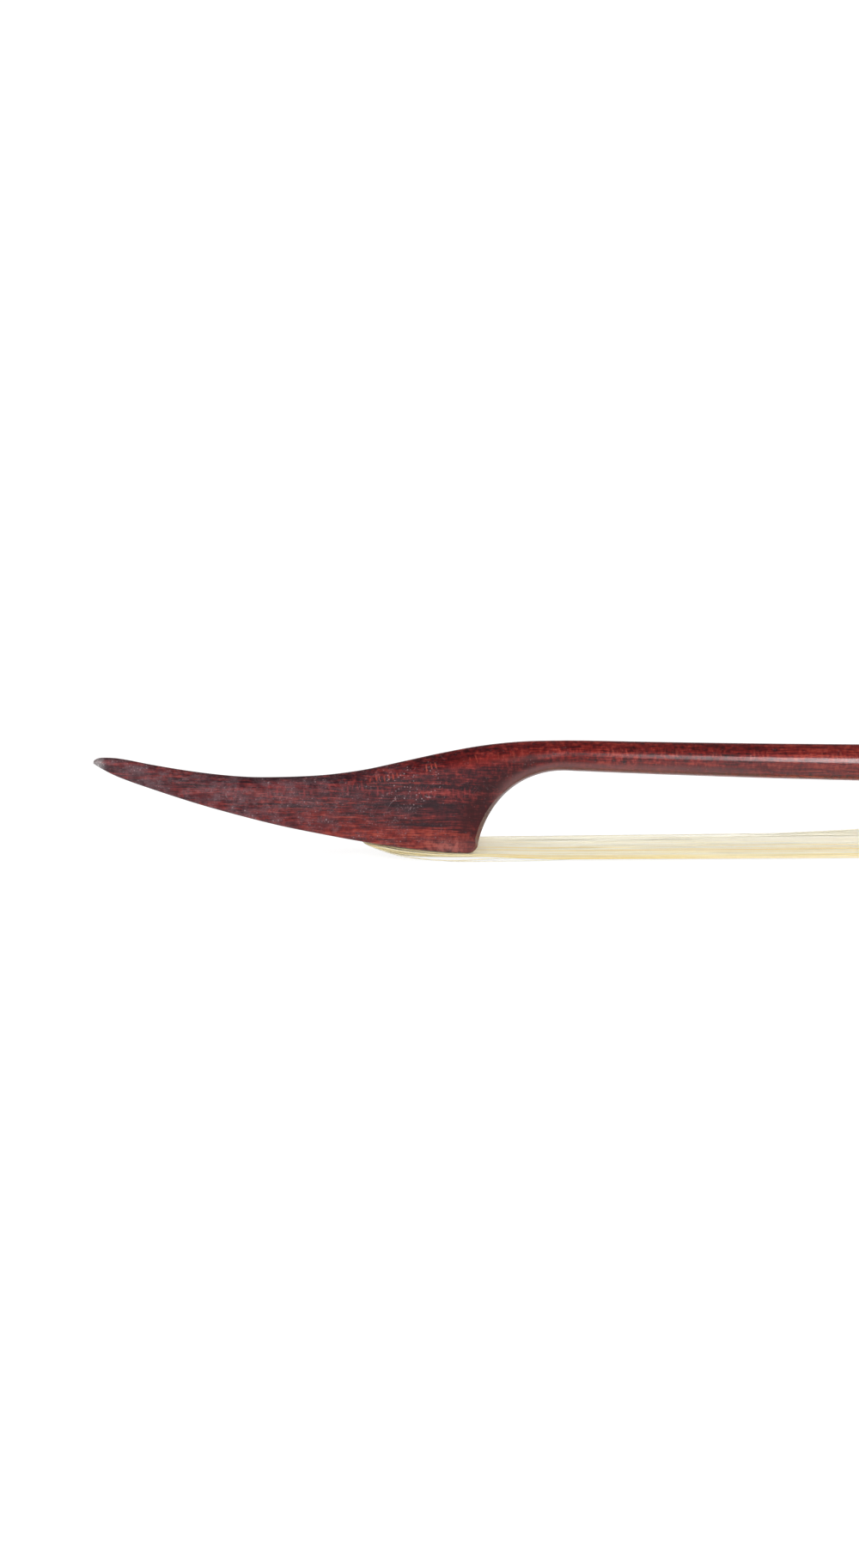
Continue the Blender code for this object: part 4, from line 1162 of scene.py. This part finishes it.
def strand_points(stations, across, depth, drift, stray):
    """Centreline of one hair, at its share across the band and its share of the thickness.

    drift holds the sizes, lengths and phases of its slow waves, and stray lifts it
    from the band in the free hair.
    """
    line = []
    for i, (spot, width, thickness, gathered) in enumerate(stations):
        before, after = neighbours(stations, i)
        along = (after[0] - before[0]).normalized()
        normal = Vector((-along.y, along.x))
        # The waves fade out where the wood holds the hair
        free = smooth_step((spot.x - HEEL_X + 0.012) / 0.03) * smooth_step((FROG_X - spot.x + 0.004) / 0.02)
        a, d = across, depth
        for size_a, size_d, length, phase in drift:
            turn = tau * (spot.x - HEEL_X) / length
            a += free * size_a * sin(turn + phase)
            d += free * size_d * sin(turn * 1.7 + 2 * phase)
        a, d = clamp(a, -BAND_EDGE, BAND_EDGE), clamp(d, -BAND_FACE, BAND_FACE)
        flat = (1 - abs(a) ** 14) ** 0.5
        offset = lerp(flat, half_chord(a), gathered) * d * (thickness - STRAND_DIAMETER) / 2
        offset += free * FAR_EDGE_LIFT * max(a, 0) ** 2
        side = a * (width - STRAND_DIAMETER) / 2
        if stray:
            size, start, length, lift = stray
            bow = sin(pi * clamp((spot.x - start) / length)) ** 2
            side += size * bow
            offset += lift * bow
        place = spot + normal * offset
        line.append(Vector((place.x, side, max(place.y, STRAND_DIAMETER / 2))))
    return line


def strand_rings(line, diameter):
    rings = []
    for i, spot in enumerate(line):
        before, after = neighbours(line, i)
        along = (after - before).normalized()
        side = (Vector((0, 1, 0)) - along * along.y).normalized()
        up = side.cross(along)
        rings.append([
            spot + (side * cos(turn) + up * sin(turn)) * diameter / 2
            for turn in around(STRAND_SIDES, pi / STRAND_SIDES)
        ])
    return rings


def make_hair(finishes):
    """All the hairs, sorted by their place in the band into three pieces of unlike tone."""
    dice = random.Random(11)

    def draw(ranges):
        return [dice.uniform(low, high) for low, high in ranges]

    stations = hair_stations()
    pieces = {name: ([], []) for name in finishes}
    for number in range(STRANDS + LOOSE_STRANDS + WISP_STRANDS + FALLEN_STRANDS):
        across = -1 + 2 * (number + 0.5 + dice.uniform(-0.4, 0.4)) / STRANDS
        depth = dice.uniform(-1.0, 1.0)
        loose = number >= STRANDS
        wisp = number >= STRANDS + LOOSE_STRANDS
        fallen = number >= STRANDS + LOOSE_STRANDS + WISP_STRANDS
        if loose:
            edge = 1 if wisp else dice.choice((-1, 1))
            across, depth = edge * dice.uniform(0.90, 0.98), edge * dice.uniform(0.6, 1.0)
        drift = [draw(ranges) for ranges in WAVES]
        stray = None
        if dice.random() < 0.05:
            way = dice.choice((-1, 1))
            stray = draw(ODD_STRAY)
            stray[0] *= way
        if loose:
            stray = draw(LOOSE_STRAY)
            stray[0] *= edge
            stray[3] *= edge > 0
        if wisp:
            stray = draw(WISP_STRAY)
        if fallen:
            across, depth = -0.97, -1.0
            stray = draw(FALLEN_STRAY)
        # The far hairs are paler, partly their own tone and partly painted light that shines through the
        # band, and those at the near edge are of every tone
        tone = 0.54 + 0.42 * across + dice.uniform(-0.36, 0.36)
        if across < -0.94:
            tone = 0.45 + dice.uniform(-0.3, 0.3) + 0.4 * fallen
        name = "hair_straw" if tone < STRAW_BELOW else "hair_cream" if tone < CREAM_BELOW else "hair_pale"
        line = strand_points(stations, across, depth, drift, stray)
        points, faces = pieces[name]
        rings = strand_rings(line, STRAND_DIAMETER * dice.uniform(0.85, 1.05))
        faces += tube_faces(len(rings), STRAND_SIDES, len(points))
        points += [p for ring in rings for p in ring]
    for i, (name, (points, faces)) in enumerate(pieces.items()):
        hair = add_object(name, mesh_from(points, faces, 180), finishes[name])
        if i == 0:
            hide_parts("hair_at_head", "hair_ribbon", "hair_in_frog")
        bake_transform(hair)


# Frog

frog_front = smooth_curve(FROG_FRONT)
frog_rear = smooth_curve(FROG_REAR)
frog_width = smooth_curve((
    (0.0, FROG_WIDTH), (0.10, FROG_WIDTH), (0.55, FROG_WAIST), (1.0, FROG_TOP_WIDTH),
))


def frog_ring(share, ease):
    """A level section of the frog, at a share of its height: a box with round corners."""
    front = FROG_X + frog_front(share) + ease + FROG_CORNER
    rear = FROG_X + FROG_LENGTH - frog_rear(share) - ease - FROG_CORNER
    half = frog_width(share) / 2 - ease - FROG_CORNER
    ring = []
    for x, y, start in ((rear, half, 0), (front, half, 90), (front, -half, 180), (rear, -half, 270)):
        for step in range(FROG_CORNER_STEPS + 1):
            angle = radians(start + 90 * step / FROG_CORNER_STEPS)
            ring.append((x + FROG_CORNER * cos(angle), y + FROG_CORNER * sin(angle), FROG_TOP_Z * share))
    return ring


def make_frog(finish):
    eased_share = FROG_EDGE / FROG_TOP_Z
    rings = []
    for turn in (0, 22.5, 45, 67.5):
        angle = radians(turn)
        rings.append(frog_ring(eased_share * (1 - cos(angle)), FROG_EDGE * (1 - sin(angle))))
    for i in range(FROG_LEVELS + 1):
        rings.append(frog_ring(lerp(eased_share, 1.0, i / FROG_LEVELS), 0.0))
    reach = (HANDLE_WIDTH / 2 + CLEARANCE) / cos(pi / 8)
    seat = turned(
        ((FROG_X - FROG_LENGTH, reach), (FROG_X + 2 * FROG_LENGTH, reach)), around(8, pi / 8),
    )
    channel = box_mesh(
        (FROG_X - FROG_LENGTH, -FROG_CHANNEL / 2, -FROG_HEIGHT),
        (FROG_MORTISE.wall_x, FROG_CHANNEL / 2, CHANNEL_ROOF_Z),
    )
    shank = EYELET_SHANK_DIAMETER / 2 + CLEARANCE
    hole = loft([
        [(EYELET_X + shank * cos(turn), shank * sin(turn), z) for turn in around(SCREW_SIDES)]
        for z in (FROG_HEIGHT - EYELET_SHANK_DEPTH - CLEARANCE, HANDLE_Z)
    ])
    make_piece(
        "carved_frog", loft(rings), finish, "frog", "frog",
        (seat, channel, FROG_MORTISE.block(), hole),
    )


# Screw and button

def make_screw(finish):
    """Nose, thread and shank, then the tang in the button; the thread is a ridge that winds."""
    nose_x = SLOT_START_X - SCREW_NOSE_LENGTH
    thread_x = SLOT_START_X + SLOT_MARGIN / 2
    tang_x = STICK_END_X + BUTTON_BORE_DEPTH
    shank = SCREW_DIAMETER / 2
    core = shank - THREAD_HEIGHT
    places = [
        (nose_x, 0.6 * core, 0.0), (nose_x + 0.2 * core, 0.86 * core, 0.0), (nose_x + core / 2, core, 0.0),
        (thread_x, core, 0.0),
    ]
    rows = round((SLOT_END_X - thread_x) / THREAD_PITCH * SCREW_STEPS)
    for i in range(1, rows):
        rise = min(i, rows - i, SCREW_STEPS) / SCREW_STEPS
        places.append((lerp(thread_x, SLOT_END_X, i / rows), core, THREAD_HEIGHT * rise))
    places += [
        (SLOT_END_X, core, 0.0), (SLOT_END_X + THREAD_PITCH, shank, 0.0),
        (tang_x - THREAD_HEIGHT, shank, 0.0), (tang_x, core, 0.0),
    ]
    rings = []
    for x, radius, height in places:
        ring = []
        for angle in around(SCREW_SIDES):
            phase = (x / THREAD_PITCH - angle / tau) % 1.0
            ridge = height * min(1.2 * (1 - abs(2 * phase - 1)), 1.0)
            ring.append(about_axis(x, radius + ridge, angle, HANDLE_Z))
        rings.append(ring)
    make_piece("threaded_screw", loft(rings, 50), finish, "screw", "screw")


def make_button(finish):
    """Turned button, with two fine lines cut round its belly."""
    outline = smooth_path([
        (BUTTON_LENGTH * share, BUTTON_DIAMETER / 2 * radius) for share, radius in BUTTON_PROFILE
    ], BUTTON_STEPS)
    profile = []
    for spot in outline:
        share = spot.x / BUTTON_LENGTH
        groove = sum(max(1 - abs(share - line) / BUTTON_LINE_HALF, 0.0) for line in BUTTON_LINES)
        radius = min(spot.y, BUTTON_DIAMETER / 2) - BUTTON_LINE_DEPTH * groove
        profile.append((BUTTON_START_X + spot.x, radius))
    bore = bored(BUTTON_START_X - BUTTON_LENGTH, BUTTON_START_X - CLEARANCE + BUTTON_BORE_DEPTH)
    mesh = turned(profile, around(BUTTON_SIDES))
    make_piece("turned_button", mesh, finish, "screw", "button", (bore,))


# Floor, lights and camera

def make_floor():
    """A pale floor with low walls far off, white to the camera, with a faint shadow of the bow."""
    floor = Finish("pale_floor")
    rays = floor.node("LightPath", {}, {}, "Is Camera Ray")
    for kind in ("Is Glossy Ray", "Is Transmission Ray"):
        rays = rays.highest(floor.node("LightPath", {}, {}, kind))
    glow = floor.node("Emission", {}, {"Color": (1.0, 1.0, 1.0), "Strength": 0.90})
    shadowed = floor.node("BsdfDiffuse", {}, {"Color": (0.2, 0.2, 0.2)})
    seen = floor.node("AddShader", {}, {0: glow, 1: shadowed})
    lit = floor.node("BsdfDiffuse", {}, {"Color": (0.8, 0.8, 0.8)})
    surface = floor.node("MixShader", {}, {0: rays, 1: lit, 2: seen})
    floor.tree.nodes.remove(floor.shader)
    floor.feed(floor.tree.nodes["Material Output"].inputs["Surface"], surface)
    corners = [
        (x * FLOOR_REACH, y * FLOOR_REACH, z)
        for z in (0, FLOOR_RISE) for x, y in ((-1, -1), (1, -1), (1, 1), (-1, 1))
    ]
    sides = [(i, (i + 1) % 4, (i + 1) % 4 + 4, i + 4) for i in range(4)]
    mesh = bpy.data.meshes.new("floor")
    mesh.from_pydata(corners, [], [(0, 1, 2, 3)] + sides)
    plane = add_object("floor", mesh, floor.material)
    plane.location.z = -0.0002


def add_light(name, place, target, width, height, power):
    data = bpy.data.lights.new(name, "AREA")
    data.shape = "RECTANGLE"
    data.size, data.size_y = width, height
    data.energy = power
    lamp = add_object(name, data)
    lamp.location = place
    lamp.rotation_euler = (Vector(target) - Vector(place)).to_track_quat("-Z", "Y").to_euler()
    return lamp


def make_lights():
    world = bpy.data.worlds.new("studio")
    world.use_nodes = True
    background = world.node_tree.nodes["Background"].inputs
    background["Color"].default_value = (1.0, 1.0, 1.0, 1.0)
    background["Strength"].default_value = 0.09
    bpy.context.scene.world = world
    for name, place, width, height, power in SOFT_LIGHTS:
        lamp = add_light(name, place, (0.0, 0.0, 0.0), width, height, power)
        lamp.visible_glossy = False
    # A long softbox beside the stick, brightest past the neck, which only the polish shows
    y, z = -SOFTBOX_AWAY * cos(SOFTBOX_RISE), HANDLE_Z + SOFTBOX_AWAY * sin(SOFTBOX_RISE)
    for start_x, end_x, radiance in SOFTBOX_STRETCHES:
        middle, length = (start_x + end_x) / 2, end_x - start_x
        power = radiance * pi * length * SOFTBOX_DEPTH
        strip = add_light(
            "softbox_along_stick", (middle, y, z), (middle, 0.0, HANDLE_Z), length, SOFTBOX_DEPTH, power,
        )
        strip.visible_diffuse = False
        strip.visible_camera = False


def make_camera():
    """Camera at the photograph's angle, far off with a long lens, the heel at its pixel."""
    data = bpy.data.cameras.new("camera")
    data.sensor_width = SENSOR
    data.lens = LENS
    camera = add_object("camera", data)
    back = Vector((0.0, -cos(VIEW_ELEVATION), sin(VIEW_ELEVATION)))
    turn = (-back).to_track_quat("-Z", "Y").to_matrix() @ Matrix.Rotation(-VIEW_ROLL, 3, "Z")
    heel = Vector((HEEL_X, -HEEL_WIDTH / 2, HEEL_Z))
    from_centre = Vector((
        (HEEL_COLUMN - PHOTO_WIDTH / 2) / PIXELS_PER_METRE,
        (PHOTO_HEIGHT / 2 - HEEL_ROW) / PIXELS_PER_METRE, 0.0,
    ))
    distance = PHOTO_HEIGHT / PIXELS_PER_METRE * LENS / SENSOR
    camera.matrix_world = Matrix.Translation(heel + back * distance - turn @ from_centre) @ turn.to_4x4()
    bpy.context.scene.camera = camera


def main():
    bpy.context.scene.view_settings.view_transform = "Standard"
    make_camera()
    make_floor()
    make_lights()
    make_stick(figured_hardwood("figured_hardwood"))
    make_frog(figured_hardwood("dark_hardwood", 0.55))
    plug, rosin, linen = plug_wood(), rosin_set_hair(), linen_thread()
    for place in (("head", HEAD_MORTISE, "stick"), ("frog", FROG_MORTISE, "frog")):
        make_plug(*place, plug)
        make_knot(*place, rosin)
        make_bound_thread(*place, linen)
    make_hair({
        "hair_" + tone: horsehair("horsehair_" + tone, *colors) for tone, colors in HAIR_TONES.items()
    })
    make_screw(filed_metal("filed_steel", (205, 206, 210), (150, 151, 156), (92, 84, 78)))
    make_button(turned_bone())
    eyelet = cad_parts["eyelet"].data.materials
    eyelet.clear()
    eyelet.append(filed_metal("filed_brass", (226, 194, 120), (186, 146, 72), (120, 84, 44)))


main()
